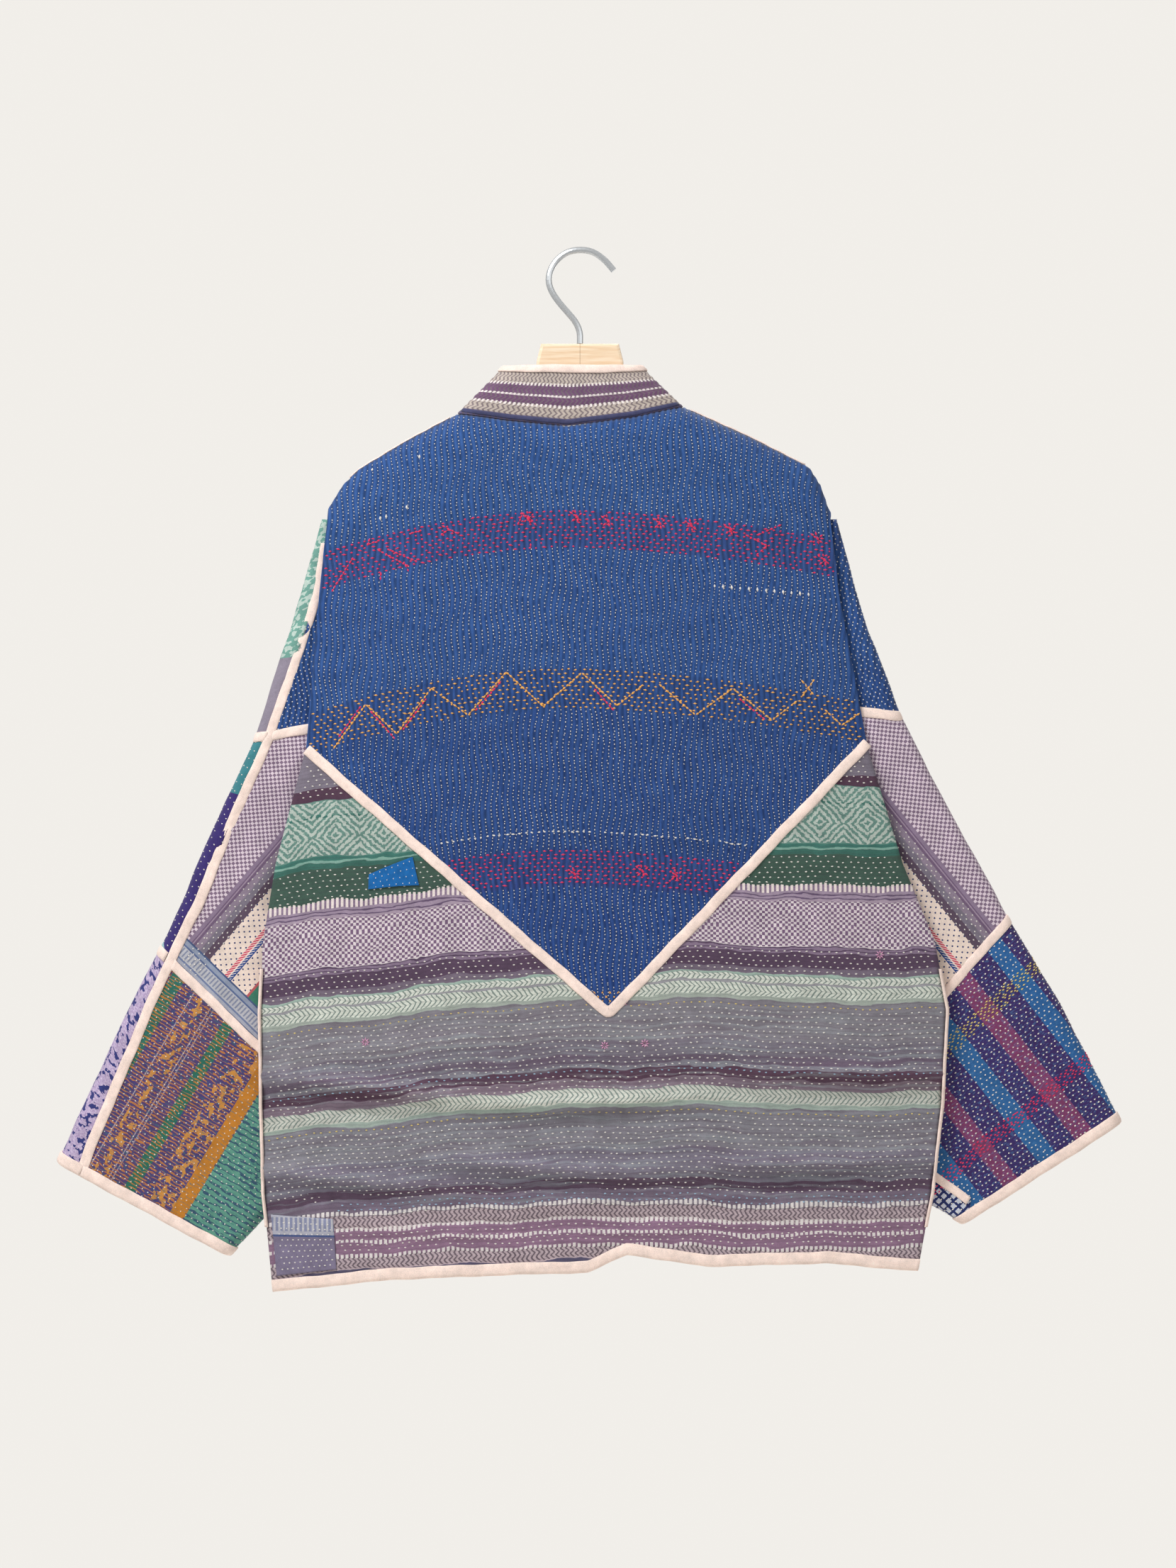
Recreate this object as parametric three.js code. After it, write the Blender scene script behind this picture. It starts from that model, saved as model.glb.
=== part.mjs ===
// A kimono-cut patchwork jacket of quilted cloth, hanging by its shoulders on a wooden hanger.
// Millimetres, +Z up. The origin is the inside top of the hanger's hook. The jacket's back looks along -Y.
import * as THREE from 'three';

// Driving dimensions
const WALL = 2.4;
const SEAM = 0.3;
const TAPE = 1.1;
const TAPE_WIDTH = 9;
const TAPE_CLEARANCE = 0.5;
const PIPING_ROOM = 1.2;
const WIRE_RADIUS = 2.85;
const PATCH_CLEARANCE = 0.45;
const PATCH_THICKNESS = 0.9;
const BAR_DEPTH = 10;
const BAR_BEVEL = 2.5;
const BACK_BULGE = 17;
const FRONT_BULGE = 16;
const BACK_EDGE_Y = -8;
const FRONT_EDGE_Y = -5.2;
const ARMHOLE_BACK_Y = -10;
const HEM_BACK_Y = -10;
const HEM_FRONT_Y = -3;
const SHOULDER_SEAM_Y = 0.9;
const SHOULDER_ROUNDING = 8;
const FRONT_OPENING = 14;

// The outline, as [height, left edge, right edge] down the body's back
const BODY_EDGES = [
  [-190, -200, 202], [-224, -217, 219], [-300, -225, 228], [-431, -236, 252], [-533, -263, 283],
  [-600, -274, 311], [-660, -277, 322], [-740, -276, 318], [-820, -274, 309], [-910, -265, 292],
];
// The fronts are cut straight down from the armhole before they flare out to the side seams
const FRONT_EDGES = [
  [-190, -196, 198], [-224, -212, 214], [-300, -218, 221], [-414, -222, 236], [-510, -223, 238],
  [-600, -274, 311], [-660, -277, 322], [-740, -276, 318], [-820, -274, 309], [-910, -265, 292],
];
// The neck and shoulder seam line from the left shoulder to the right, as [x, z]
const SHOULDER_LINE = [
  [-217, -224], [-204, -203], [-190, -190], [-150, -166], [-105, -142], [-60, -149], [-9, -154],
  [50, -146], [92, -136], [150, -162], [201, -188], [211, -204], [219, -227],
];
const NECK_LEFT = -105;
const NECK_RIGHT = 92;
const NECK_DEPTH = 17;
const YOKE_LEFT = [-236, -434];
const YOKE_POINT = [27, -663];
const YOKE_RIGHT = [252, -428];
const HEM_LINE = [
  [-265, -905], [-162, -893], [-60, -888], [9, -886], [43, -871], [112, -881], [214, -879], [292, -887],
];
const COLLAR_TOP = { left: -64, right: 55, z: -100.5, depth: 14 };
const HOOK_ROUTE = [
  [31.5, -15.1], [23.4, -5.9], [12.7, 1.2], [2, 2.85], [-8.7, 0.9], [-18.2, -5.9], [-24, -15.5],
  [-25.3, -25.1], [-22.5, -33.7], [-16.1, -43.2], [-8.7, -51.8], [-1.9, -60.3], [1.6, -68.8], [2, -79.1],
];
const BAR_TOP = [
  [36, -79.4], [40, -95], [40, -108], [58, -122], [92, -143], [148, -167.2], [180, -190.2], [191, -206],
];
const BAR_BOTTOM = [[188, -221], [174, -219], [100, -180], [40, -154], [2, -148]];
const BAR_CENTRE = 2;

// Sleeve sections from shoulder to cuff: outer edge, inner edge, depth of the middle, half thickness
const LEFT_SLEEVE = {
  upper: [
    { outer: [-222.5, -233], inner: [-213.7, -233], y: 1.5, half: 3.6 },
    { outer: [-252, -336], inner: [-220.4, -334], y: 2, half: 7 },
    { outer: [-281, -424], inner: [-223, -414], y: 2.2, half: 8 },
  ],
  middle: [
    { outer: [-281.5, -425], inner: [-223.1, -415], y: 2.2, half: 8 },
    { outer: [-318, -502], inner: [-227, -520], y: 9, half: 8.4 },
    { outer: [-342, -560], inner: [-244, -620], y: 10.5, half: 8.5 },
    { outer: [-366, -610], inner: [-262, -711], y: 11.5, half: 8.5 },
  ],
  cuff: [
    { outer: [-366.6, -611], inner: [-262.3, -712], y: 11.5, half: 8.5 },
    { outer: [-388, -651], inner: [-266, -764], y: 11.8, half: 9 },
    { outer: [-440, -762], inner: [-270, -838], y: 12, half: 9.6 },
    { outer: [-455, -795], inner: [-306, -876], y: 12, half: 10 },
  ],
  side: -1,
  seamSide: -1,
};
const RIGHT_SLEEVE = {
  upper: [
    { outer: [225, -233], inner: [215.7, -233], y: 1.5, half: 3.6 },
    { outer: [252, -332], inner: [226.2, -331], y: 2, half: 7 },
    { outer: [281, -405], inner: [236.2, -400], y: 2.2, half: 8 },
  ],
  middle: [
    { outer: [281.6, -406], inner: [236.6, -401], y: 2.2, half: 8 },
    { outer: [329, -496], inner: [244, -520], y: 9, half: 8.4 },
    { outer: [353, -540], inner: [268, -606], y: 10.5, half: 8.5 },
    { outer: [377, -583], inner: [292, -680], y: 11.5, half: 8.5 },
  ],
  cuff: [
    { outer: [377.6, -584], inner: [292.4, -681], y: 11.5, half: 8.5 },
    { outer: [421, -655], inner: [302, -757], y: 11.8, half: 9 },
    { outer: [464, -738], inner: [305, -829], y: 12, half: 9.6 },
    { outer: [475, -760], inner: [338, -848], y: 12, half: 10 },
  ],
  side: 1,
  seamSide: 1,
};
// The top seam lies this far from the sleeve's outer edge, on the back on the left and the front on the right
const TOP_SEAM_INSET = 17;
// It moves inward toward the cuff, by this much for each millimetre of half thickness over the middle panel's
const SEAM_DRIFT = 7;
const MIDDLE_HALF = 8.4;
// Half the parting of the two walls at the under seam, where both turn on a small round
const UNDER_SEAM = 0.65;
const CUFF_TAPE_INSET = 1.3;
// The top tape stops this far above the cuff's edge
const TOP_TAPE_CUT = 12.5;

const cloth = (color) => new THREE.MeshStandardMaterial({ color, roughness: 0.95, metalness: 0 });
const INDIGO = cloth(0x2f5597);
const STRIPED = cloth(0x7d7a86);
const BLUSH = cloth(0xf0dbd0);
const LAVENDER = cloth(0xb7a6b4);
const PATCH_BLUE = cloth(0x1b6cb8);
const PATCH_GREY = cloth(0x6f6a85);
const COLLAR_CLOTH = cloth(0x8d7c8c);
const OCHRE_CUFF = cloth(0x7a5a4a);
const PURPLE_CUFF = cloth(0x40306a);
const DARK_PIPING = cloth(0x3a3c5c);
const BEECH = new THREE.MeshStandardMaterial({ color: 0xe0b174, roughness: 0.5, metalness: 0 });
const STEEL = new THREE.MeshStandardMaterial({ color: 0xb9bec6, roughness: 0.3, metalness: 1 });

const jacket = new THREE.Group();

const lerp = (a, b, f) => a + (b - a) * f;
const smooth = (f) => f * f * (3 - 2 * f);
const last = (list) => list[list.length - 1];
const clamp01 = (f) => Math.min(1, Math.max(0, f));

// Value of a broken line through points sorted by key, straight between them
function along(points, key, column) {
  const rising = points[points.length - 1][0] > points[0][0];
  const list = rising ? points : [...points].reverse();
  if (key <= list[0][0]) return list[0][column];
  for (let i = 1; i < list.length; i += 1) {
    if (key <= list[i][0]) {
      const f = (key - list[i - 1][0]) / (list[i][0] - list[i - 1][0]);
      return lerp(list[i - 1][column], list[i][column], f);
    }
  }
  return list[list.length - 1][column];
}

const shoulderZ = (x) => along(SHOULDER_LINE, x, 1);
const hemZ = (x) => along(HEM_LINE, x, 1);

// Half depth of the neck hole at x, zero outside the neck
function neckDepth(x) {
  const centre = (NECK_LEFT + NECK_RIGHT) / 2;
  const f = Math.abs(x - centre) / ((NECK_RIGHT - NECK_LEFT) / 2);
  return f < 1 ? NECK_DEPTH * Math.sqrt(1 - f ** 4) : 0;
}

// How far a point lies from the body's centre line, -1 at the left edge and 1 at the right
function across(edges, x, z) {
  const left = along(edges, z, 1);
  const right = along(edges, z, 2);
  return (2 * x - left - right) / (right - left);
}

// The largest soft folds of the back: crosswise buckles low down, the fold at the hem and the sag under the V
const BACK_FOLDS = [
  { x: -170, z: -752, slope: 0.12, length: 150, width: 26, height: 4.5 },
  { x: 150, z: -742, slope: -0.05, length: 170, width: 26, height: 4 },
  { x: -40, z: -822, slope: 0.06, length: 190, width: 24, height: 4.5 },
  { x: 43, z: -880, slope: 12, length: 60, width: 26, height: -5 },
  { x: -150, z: -330, slope: 3.2, length: 170, width: 30, height: 3 },
  { x: 165, z: -340, slope: -3.4, length: 170, width: 30, height: 3 },
];
function foldHeight(x, z) {
  let total = 0;
  for (const fold of BACK_FOLDS) {
    const scale = Math.hypot(1, fold.slope);
    const alongFold = (x - fold.x + (z - fold.z) * fold.slope) / scale;
    const acrossFold = ((z - fold.z) - (x - fold.x) * fold.slope) / scale;
    total += fold.height * Math.exp(-((alongFold / fold.length) ** 2) - (acrossFold / fold.width) ** 2);
  }
  return total;
}

// The side seams open a little just above the hem
const HEM_SPREAD = { start: -855, length: 30 };
const hemSpread = (z) => smooth(clamp01((HEM_SPREAD.start - z) / HEM_SPREAD.length));

// Middle of the back's wall
function backY(x, z) {
  const s = across(BODY_EDGES, x, z);
  const low = smooth(clamp01((-z - 430) / 170));
  const edge = lerp(lerp(ARMHOLE_BACK_Y, BACK_EDGE_Y, low), HEM_BACK_Y, hemSpread(z));
  const room = clamp01(1 - s * s);
  const hanging = edge - BACK_BULGE * room - foldHeight(x, z) * Math.min(1, room * 4);
  const start = Math.max(SHOULDER_SEAM_Y, neckDepth(x));
  const drop = Math.max(0, shoulderZ(x) - z);
  return lerp(-start, hanging, 1 - Math.exp(-drop / SHOULDER_ROUNDING));
}

// Middle of the fronts' wall, which meets the sleeve's front wall at the armhole
function frontY(x, z) {
  const s = across(FRONT_EDGES, x, z);
  const armhole = along([[-224, 6], [-250, 6], [-334, 9], [-414, 10.2], [-510, FRONT_EDGE_Y]], z, 1);
  const room = clamp01(1 - s * s);
  const hanging = lerp(armhole, HEM_FRONT_Y, hemSpread(z)) + FRONT_BULGE * room;
  const start = Math.max(SHOULDER_SEAM_Y, neckDepth(x));
  const drop = Math.max(0, shoulderZ(x) - z);
  return lerp(start, hanging, 1 - Math.exp(-drop / SHOULDER_ROUNDING));
}

// Closed mesh through a loop of rings, with flat fans at both ends
function ringSolid(name, material, rings, caps) {
  const size = rings[0].length;
  const positions = rings.flat().flat();
  const indices = [];
  for (let i = 0; i + 1 < rings.length; i += 1) {
    for (let j = 0; j < size; j += 1) {
      const a = i * size + j;
      const b = i * size + ((j + 1) % size);
      indices.push(a, b, a + size, b, b + size, a + size);
    }
  }
  const end = (rings.length - 1) * size;
  for (const [a, b, c] of caps) {
    indices.push(a, c, b, end + a, end + b, end + c);
  }
  addSolid(name, material, positions, indices);
}

function addSolid(name, material, positions, indices) {
  const geometry = new THREE.BufferGeometry();
  geometry.setAttribute('position', new THREE.Float32BufferAttribute(positions, 3));
  geometry.setIndex(signedVolume(positions, indices) < 0 ? flipped(indices) : indices);
  geometry.computeVertexNormals();
  const mesh = new THREE.Mesh(geometry, material);
  mesh.name = name;
  jacket.add(mesh);
}

function flipped(indices) {
  const result = [];
  for (let i = 0; i < indices.length; i += 3) {
    result.push(indices[i], indices[i + 2], indices[i + 1]);
  }
  return result;
}

function signedVolume(positions, indices) {
  const at = (i) => new THREE.Vector3(positions[3 * i], positions[3 * i + 1], positions[3 * i + 2]);
  let volume = 0;
  for (let i = 0; i < indices.length; i += 3) {
    volume += at(indices[i]).dot(at(indices[i + 1]).cross(at(indices[i + 2])));
  }
  return volume;
}

// Unit normals of a grid of points, from the differences between neighbours
function gridNormals(grid) {
  return grid.map((row, i) => row.map((_, j) => {
    const up = grid[Math.max(0, i - 1)][j];
    const down = grid[Math.min(grid.length - 1, i + 1)][j];
    const before = row[Math.max(0, j - 1)];
    const after = row[Math.min(row.length - 1, j + 1)];
    return down.clone().sub(up).cross(after.clone().sub(before)).normalize();
  }));
}

// A wall of cloth from a grid of its middle points, with both faces moved along the normals
function wallSolid(name, material, grid, near = -WALL / 2, far = WALL / 2) {
  const rows = grid.length;
  const columns = grid[0].length;
  const normals = gridNormals(grid);
  const positions = [];
  for (const move of [far, near]) {
    for (let i = 0; i < rows; i += 1) {
      for (let j = 0; j < columns; j += 1) {
        const p = grid[i][j].clone().addScaledVector(normals[i][j], move);
        positions.push(p.x, p.y, p.z);
      }
    }
  }
  const other = rows * columns;
  const indices = [];
  for (let i = 0; i + 1 < rows; i += 1) {
    for (let j = 0; j + 1 < columns; j += 1) {
      const a = i * columns + j;
      const b = a + 1;
      const c = a + columns;
      const d = c + 1;
      indices.push(a, c, b, b, c, d, other + a, other + b, other + c, other + b, other + d, other + c);
    }
  }
  const rim = [];
  for (let j = 0; j < columns - 1; j += 1) rim.push(j);
  for (let i = 0; i < rows - 1; i += 1) rim.push(i * columns + columns - 1);
  for (let j = columns - 1; j > 0; j -= 1) rim.push((rows - 1) * columns + j);
  for (let i = rows - 1; i > 0; i -= 1) rim.push(i * columns);
  rim.forEach((a, k) => {
    const b = rim[(k + 1) % rim.length];
    indices.push(a, b, other + a, b, other + b, other + a);
  });
  addSolid(name, material, positions, indices);
}

// Tape folded round an edge: each station has the edge point, the way into the panel and the panel's normal
function edgeTape(name, material, stations, half = WALL / 2, leg = TAPE_WIDTH) {
  const gap = SEAM;
  const inner = half + gap;
  const outer = inner + TAPE;
  const section = [
    [leg, outer], [-gap - TAPE, outer], [-gap - TAPE, -outer], [leg, -outer],
    [leg, -inner], [-gap, -inner], [-gap, inner], [leg, inner],
  ];
  const caps = [[0, 1, 6], [0, 6, 7], [1, 2, 5], [1, 5, 6], [2, 3, 4], [2, 4, 5]];
  const rings = stations.map(({ point, into, normal }) => section.map(([d, n]) => {
    const p = point.clone().addScaledVector(into, d).addScaledVector(normal, n);
    return [p.x, p.y, p.z];
  }));
  ringSolid(name, material, rings, caps);
}

const span = (from, to, count) => Array.from({ length: count + 1 }, (_, i) => lerp(from, to, i / count));

const backPoint = (x, z) => new THREE.Vector3(x, backY(x, z), z);
const frontPoint = (x, z) => new THREE.Vector3(x, frontY(x, z), z);

// Back yoke: columns run from the neck and shoulder seam down to the V
const vLine = (x) => along([YOKE_LEFT, YOKE_POINT, YOKE_RIGHT], x, 1);
const topSpan = (s) => lerp(SHOULDER_LINE[0][0], last(SHOULDER_LINE)[0], s);
const vSpan = (s) => lerp(YOKE_LEFT[0], YOKE_RIGHT[0], s);
const hemSpan = (s) => lerp(HEM_LINE[0][0], last(HEM_LINE)[0], s);
const V_SHARE = (YOKE_POINT[0] - YOKE_LEFT[0]) / (YOKE_RIGHT[0] - YOKE_LEFT[0]);
const columns = [...span(0, V_SHARE, 11), ...span(V_SHARE, 1, 10).slice(1)];

const YOKE_ROWS = [0, 0.012, 0.03, 0.06, 0.12, 0.22, 0.34, 0.46, 0.58, 0.7, 0.82, 0.92, 1];
const yokeTop = (s) => shoulderZ(topSpan(s)) - SEAM;
const EDGE_SHARE = 0.3;
// Moves the outer columns of a straight-sided net of columns on to the body's true side edges
function sideShift(s, f, top, bottom) {
  const z = [0, 1].map((k) => lerp(top[k][1], bottom[k][1], f));
  const left = along(BODY_EDGES, z[0], 1) - lerp(top[0][0], bottom[0][0], f);
  const right = along(BODY_EDGES, z[1], 2) - lerp(top[1][0], bottom[1][0], f);
  return left * clamp01(1 - s / EDGE_SHARE) + right * clamp01((s - 1 + EDGE_SHARE) / EDGE_SHARE);
}
const SHOULDER_ENDS = [SHOULDER_LINE[0], last(SHOULDER_LINE)];
const YOKE_ENDS = [YOKE_LEFT, YOKE_RIGHT];
const HEM_ENDS = [HEM_LINE[0], last(HEM_LINE)];
const yokeShift = (s, f) => (f < 1 ? sideShift(s, f, SHOULDER_ENDS, YOKE_ENDS) : 0);
const yokeX = (s, f) => lerp(topSpan(s), vSpan(s), f) + yokeShift(s, f);
const yokeGrid = YOKE_ROWS.map((f) => columns.map((s) => {
  const z = lerp(yokeTop(s), vLine(vSpan(s)) + SEAM, f);
  return backPoint(yokeX(s, f), z);
}));
wallSolid('back_yoke', INDIGO, yokeGrid);

const LOWER_ROWS = 12;
const lowerShift = (s, f) => (f > 0 ? sideShift(s, f, YOKE_ENDS, HEM_ENDS) : 0);
const lowerX = (s, f) => lerp(vSpan(s), hemSpan(s), f) + lowerShift(s, f);
const lowerGrid = span(0, 1, LOWER_ROWS).map((f) => columns.map((s) => {
  const z = lerp(vLine(vSpan(s)) - SEAM, hemZ(hemSpan(s)), f);
  return backPoint(lowerX(s, f), z);
}));
wallSolid('back_lower', STRIPED, lowerGrid);

// Tape over a seam between two panels, made from the points of both panels' ends and moved out
function seamTape(name, side, above, below, offset, width, seamEnd) {
  const rise = (a, b) => b.clone().sub(a).normalize().multiplyScalar(width / 2);
  const stations = last(above).map((end, j) => {
    const start = below[0][j + offset];
    const up = start.clone().add(rise(end, above[above.length - 2][j]));
    return [up, start.clone(), start.clone().add(rise(start, below[1][j + offset]))];
  });
  const lift = side * (WALL / 2 + SEAM);
  wallSolid(name, BLUSH, seamEnd ? trimmed(stations, seamEnd) : stations, lift, lift + side * TAPE);
}

// Cuts a tape's stations back from the first or the last one, to clear the tape that crosses it there
function trimmed(stations, seamEnd) {
  const list = seamEnd === 'first' ? [...stations].reverse() : [...stations];
  let left = TAPE_WIDTH / 2 + TAPE_CLEARANCE;
  while (left > last(list)[1].distanceTo(list[list.length - 2][1])) {
    left -= last(list)[1].distanceTo(list[list.length - 2][1]);
    list.pop();
  }
  const before = list[list.length - 2];
  const share = left / last(list)[1].distanceTo(before[1]);
  list.push(list.pop().map((point, k) => point.lerp(before[k], share)));
  return seamEnd === 'first' ? list.reverse() : list;
}
const V_TAPE_HEIGHT = TAPE_WIDTH / Math.cos(Math.PI / 4.4);
seamTape('yoke_binding', -1, yokeGrid, lowerGrid, 0, V_TAPE_HEIGHT);

// Mending patches, made from the back's points and moved out
function patch(name, material, corners) {
  const [a, b, c, d] = corners;
  const lift = WALL / 2 + PATCH_CLEARANCE;
  const grid = span(0, 1, 3).map((v) => span(0, 1, 3).map((u) => {
    const s = lerp(lerp(a[0], b[0], u), lerp(d[0], c[0], u), v);
    const f = lerp(lerp(a[1], b[1], u), lerp(d[1], c[1], u), v);
    return lowerPoint(s, f);
  }));
  wallSolid(name, material, grid, lift, lift + PATCH_THICKNESS);
}
// A point of the lower back's net, at a share of its width and of its height
function lowerPoint(s, f) {
  const j = Math.min(columns.length - 2, columns.findIndex((c, k) => s <= columns[k + 1]));
  const u = (s - columns[j]) / (columns[j + 1] - columns[j]);
  const i = Math.min(LOWER_ROWS - 1, Math.floor(f * LOWER_ROWS));
  const v = f * LOWER_ROWS - i;
  const top = lowerGrid[i][j].clone().lerp(lowerGrid[i][j + 1], u);
  return top.lerp(lowerGrid[i + 1][j].clone().lerp(lowerGrid[i + 1][j + 1], u), v);
}
// Corners of the patches as shares of the lower back's width and height
patch('blue_patch', PATCH_BLUE, [[0.1325, 0.128], [0.194, 0.028], [0.2095, 0.0775], [0.1355, 0.1575]]);
patch('hem_corner_patch', PATCH_GREY, [[0.014, 0.86], [0.102, 0.866], [0.102, 0.962], [0.014, 0.966]]);

// Fronts: rows from the neck and shoulder seam to the hem, edges bound at the centre
const FRONT_ROWS = [
  0, 0.004, 0.01, 0.025, 0.05, 0.1, 0.16, 0.24, 0.33, 0.42, 0.48, 0.54, 0.6, 0.7, 0.8, 0.9, 1,
];
const FRONT_COLUMNS = 9;
const CENTRE = -2;
// The fronts stop short of the shoulder's end, dip at the neck and clear the hem, and settle below the seam
const FRONT_SHOULDER_CUT = 5;
const FRONT_NECK_DIP = 2;
const FRONT_HEM_RISE = 1;
const FRONT_SETTLE = 0.05;
function frontGrid(side) {
  const edgeColumn = side < 0 ? 1 : 2;
  const centreX = CENTRE + side * FRONT_OPENING / 2;
  const shoulderX = side < 0 ? SHOULDER_LINE[0][0] : last(SHOULDER_LINE)[0];
  const bottomX = side < 0 ? HEM_LINE[0][0] : last(HEM_LINE)[0];
  return FRONT_ROWS.map((f) => span(0, 1, FRONT_COLUMNS).map((u) => {
    const topX = lerp(centreX, shoulderX - side * FRONT_SHOULDER_CUT, u);
    const hemX = lerp(centreX, bottomX, u);
    const top = shoulderZ(topX) - SEAM - FRONT_NECK_DIP * (1 - u);
    const z = lerp(top, hemZ(hemX) + FRONT_HEM_RISE, f);
    const edge = along(FRONT_EDGES, z, edgeColumn);
    const x = f === 0 ? topX : lerp(centreX, edge, u);
    const settle = smooth(clamp01(f / FRONT_SETTLE));
    return frontPoint(lerp(topX, x, settle), z);
  }));
}
const frontGrids = { left: frontGrid(-1), right: frontGrid(1) };
wallSolid('front_left', STRIPED, frontGrids.left);
wallSolid('front_right', STRIPED, frontGrids.right);

// Points of an edge of a grid, with the way into the panel and its normal
function edgeStations(grid, pick, skipStart = 0) {
  const normals = gridNormals(grid);
  const list = pick(grid, normals);
  return list.slice(skipStart).map(({ point, inside, normal }) => {
    const into = inside.clone().sub(point);
    into.addScaledVector(normal, -into.dot(normal)).normalize();
    return { point: point.clone(), into, normal };
  });
}
const bottomEdge = (grid, normals) => grid[grid.length - 1].map((point, j) => ({
  point, inside: grid[grid.length - 2][j], normal: normals[grid.length - 1][j],
}));
const centreEdge = (grid, normals) => grid.map((row, i) => ({
  point: row[0], inside: row[1], normal: normals[i][0],
}));

// Stations of a front's centre edge, from below the neck to just above the hem tape
const FRONT_EDGE_SKIP = 3;
const FRONT_EDGE_CUT = 0.17;
function frontEdge(grid) {
  const stations = edgeStations(grid, centreEdge, FRONT_EDGE_SKIP);
  last(stations).point.lerp(stations[stations.length - 2].point, FRONT_EDGE_CUT);
  return stations;
}
// Both ends of a tape's stations drawn in along the edge, so that two tapes meet without touching
function drawnIn(stations) {
  const pull = (end, next) => end.point.lerp(next.point, CUFF_TAPE_INSET / end.point.distanceTo(next.point));
  pull(stations[0], stations[1]);
  pull(last(stations), stations[stations.length - 2]);
  return stations;
}
edgeTape('back_hem_binding', BLUSH, edgeStations(lowerGrid, bottomEdge));
edgeTape('front_left_hem_binding', BLUSH, edgeStations(frontGrids.left, bottomEdge));
edgeTape('front_right_hem_binding', BLUSH, edgeStations(frontGrids.right, bottomEdge));
edgeTape('front_left_edge_binding', BLUSH, frontEdge(frontGrids.left));
edgeTape('front_right_edge_binding', BLUSH, frontEdge(frontGrids.right));

// Piping over both side seams, where the back's edge and a front's edge lie together
const SIDE_SEAM = { top: -625, end: -850 };
const NARROW_LEG = 4;
function sidePiping(name, side) {
  const column = side < 0 ? 1 : 2;
  const middleY = (BACK_EDGE_Y + FRONT_EDGE_Y) / 2;
  const half = (FRONT_EDGE_Y - BACK_EDGE_Y) / 2 + WALL / 2;
  const stations = span(SIDE_SEAM.top, SIDE_SEAM.end, 9).map((z) => ({
    point: new THREE.Vector3(along(BODY_EDGES, z, column) + side * PIPING_ROOM, middleY, z),
    into: new THREE.Vector3(-side, 0, 0),
    normal: new THREE.Vector3(0, -1, 0),
  }));
  edgeTape(name, BLUSH, stations, half + PIPING_ROOM, NARROW_LEG);
}
sidePiping('side_piping_left', -1);
sidePiping('side_piping_right', 1);

// Piping that rides on the shoulder seams, with its section as [y, height over the seam line]
const PIPING_SECTION = [[-2.2, 1.3], [2.2, 1.3], [1.6, 2.8], [-1.6, 2.8]];
const PIPING_END = 198;
const PIPING_NECK_GAP = 6;
function shoulderPiping(name, from, to) {
  const stations = span(from, to, 8).map((x) => {
    const slope = (shoulderZ(x + 1) - shoulderZ(x - 1)) / 2;
    const up = new THREE.Vector3(-slope, 0, 1).normalize();
    return { point: new THREE.Vector3(x, 0, shoulderZ(x)), up };
  });
  const rings = stations.map(({ point, up }) => PIPING_SECTION.map(([y, n]) => {
    const p = point.clone().addScaledVector(up, n);
    return [p.x, y, p.z];
  }));
  ringSolid(name, BLUSH, rings, [[0, 1, 2], [0, 2, 3]]);
}
shoulderPiping('shoulder_piping_left', -PIPING_END, NECK_LEFT - PIPING_NECK_GAP);
shoulderPiping('shoulder_piping_right', NECK_RIGHT + PIPING_NECK_GAP, PIPING_END);

// Stand collar: a band round the neck, open at the front's centre
const COLLAR_SIDES = 36;
const COLLAR_RISE = 1.3;
// The band's ends, as shares of a turn, and the powers that square its oval
const COLLAR_ENDS = [0.06, 0.94];
const COLLAR_SQUARING = { x: 0.8, y: 0.6 };
function collarPoint(turn, height) {
  const angle = lerp(COLLAR_ENDS[0], COLLAR_ENDS[1], turn) * 2 * Math.PI;
  const power = (value, exponent) => Math.sign(value) * Math.abs(value) ** exponent;
  const left = lerp(NECK_LEFT + 1, COLLAR_TOP.left, height);
  const right = lerp(NECK_RIGHT - 1, COLLAR_TOP.right, height);
  const depth = lerp(NECK_DEPTH, COLLAR_TOP.depth, height);
  const x = (left + right) / 2 + (right - left) / 2 * power(Math.sin(angle), COLLAR_SQUARING.x);
  const y = depth * power(Math.cos(angle), COLLAR_SQUARING.y);
  const base = shoulderZ(lerp(NECK_LEFT + 1, NECK_RIGHT - 1, (x - left) / (right - left))) + COLLAR_RISE;
  return new THREE.Vector3(x, y, lerp(base, COLLAR_TOP.z, height));
}
const collarRow = (height) => span(0, 1, COLLAR_SIDES).map((turn) => collarPoint(turn, height));
const collarGrid = span(1, 0, 4).map(collarRow);
wallSolid('collar', COLLAR_CLOTH, collarGrid);
const topEdge = (grid, normals) => grid[0].map((point, j) => ({
  point, inside: grid[1][j], normal: normals[0][j],
}));
edgeTape('collar_binding', BLUSH, edgeStations(collarGrid, topEdge), WALL / 2, NARROW_LEG);

// The dark piping runs round the back of the collar's base
const COLLAR_PIPING = { from: 0.26, to: 0.74, heights: [0.12, 0.06, 0], thickness: 0.9 };
const pipingRow = (height) => span(COLLAR_PIPING.from, COLLAR_PIPING.to, 18).map((turn) => (
  collarPoint(turn, height)
));
const pipingGrid = COLLAR_PIPING.heights.map(pipingRow);
const PIPING_LIFT = WALL / 2 + SEAM;
wallSolid('collar_piping', DARK_PIPING, pipingGrid, -PIPING_LIFT, -PIPING_LIFT - COLLAR_PIPING.thickness);

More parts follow.
